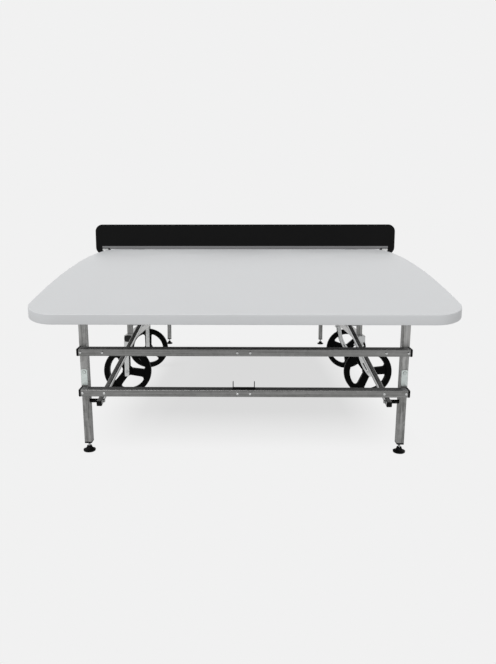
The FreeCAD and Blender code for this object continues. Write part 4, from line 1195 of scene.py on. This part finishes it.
def floor_material(stage):
    """Pale matt floor that keeps the shadow, lifted towards the background where it is looked at."""
    material, tree = start_material("studio_floor")[:2]
    tree.nodes.remove(tree.nodes["Principled BSDF"])
    shown = pale_share(tree)
    matt = add_node(tree, "BsdfDiffuse", Color=mix(tree, shown, stage.floor_bounce, stage.background))
    plain = add_node(tree, "Emission", Color=stage.background, Strength=1.0)
    lift = add_node(tree, "Math", shown, floor_share(tree, stage), operation="MULTIPLY")
    blend_shaders(tree, lift.outputs[0], matt, plain, "Material Output")
    return material


def lay_floor(stage):
    """Wide flat floor just below the feet."""
    corner = np.array([-FLOOR_HALF, FLOOR_HALF])
    x, y = np.meshgrid(corner, corner)
    points = np.stack([x, y, np.full_like(x, FLOOR_LEVEL)], axis=-1)
    mesh = bpy.data.meshes.new("studio_floor")
    mesh.from_pydata(points.reshape(-1, 3).tolist(), [], grid_faces(2, 2, False).tolist())
    mesh.materials.append(floor_material(stage))
    place_object("studio_floor", mesh)


def hang_lamp(stage):
    """Soft lamp overhead."""
    lamp = bpy.data.lights.new("soft_key", "SUN")
    lamp.energy = stage.key_level
    lamp.angle = stage.key_spread
    place_object("soft_key", lamp).rotation_euler = stage.key_turn


def set_camera(stage):
    """Camera that looks along the table, turned, tipped down and rolled in this order."""
    lens = bpy.data.cameras.new("photo_camera")
    lens.lens = stage.focal_length
    lens.shift_x = stage.camera_shift
    turn = Matrix.Rotation(-stage.camera_turn, 4, "Z")
    pitch = Matrix.Rotation(math.pi / 2 - stage.camera_pitch, 4, "X")
    roll = Matrix.Rotation(stage.camera_roll, 4, "Z")
    camera = place_object("photo_camera", lens)
    camera.matrix_world = Matrix.Translation(stage.camera_place) @ turn @ pitch @ roll
    bpy.context.scene.camera = camera


class GAMETABLE_OT_stage(Operator):
    """Pale floor and backdrop, soft studio light and the camera"""
    bl_idname = "gametable.stage"
    bl_label = "Stage"

    def execute(self, context):
        stage = settings().stage
        context.scene.view_settings.view_transform = "Standard"
        backdrop(stage)
        lay_floor(stage)
        hang_lamp(stage)
        set_camera(stage)
        return {"FINISHED"}


# Add-on

STEPS = (GAMETABLE_OT_boards, GAMETABLE_OT_steelwork, GAMETABLE_OT_fittings, GAMETABLE_OT_cap_lips,
         GAMETABLE_OT_bolts, GAMETABLE_OT_feet, GAMETABLE_OT_net, GAMETABLE_OT_stage)


class GAMETABLE_PT_tools(Panel):
    """Steps that dress the table, in order, and its settings"""
    bl_idname = "GAMETABLE_PT_tools"
    bl_label = "Game table"
    bl_space_type = "VIEW_3D"
    bl_region_type = "UI"
    bl_category = "Game table"

    def draw(self, context):
        for step in STEPS:
            self.layout.operator(step.bl_idname)
        for label in GameTableSettings.__annotations__:
            group = getattr(settings(), label)
            box = self.layout.box()
            for name in type(group).__annotations__:
                box.prop(group, name)


CLASSES = (BoardSizes, FootSizes, NetSizes, BoltSizes, CapSizes, WeldSizes, Finishes, StageSettings,
           GameTableSettings, *STEPS, GAMETABLE_PT_tools)


def register():
    for cls in CLASSES:
        bpy.utils.register_class(cls)
    bpy.types.Scene.game_table = settings_of(GameTableSettings, "Game table")


def unregister():
    del bpy.types.Scene.game_table
    for cls in reversed(CLASSES):
        bpy.utils.unregister_class(cls)


def main():
    register()
    bpy.ops.gametable.boards()
    bpy.ops.gametable.steelwork()
    bpy.ops.gametable.fittings()
    bpy.ops.gametable.cap_lips()
    bpy.ops.gametable.bolts()
    bpy.ops.gametable.feet()
    bpy.ops.gametable.net()
    bpy.ops.gametable.stage()


if __name__ == "__main__":
    main()
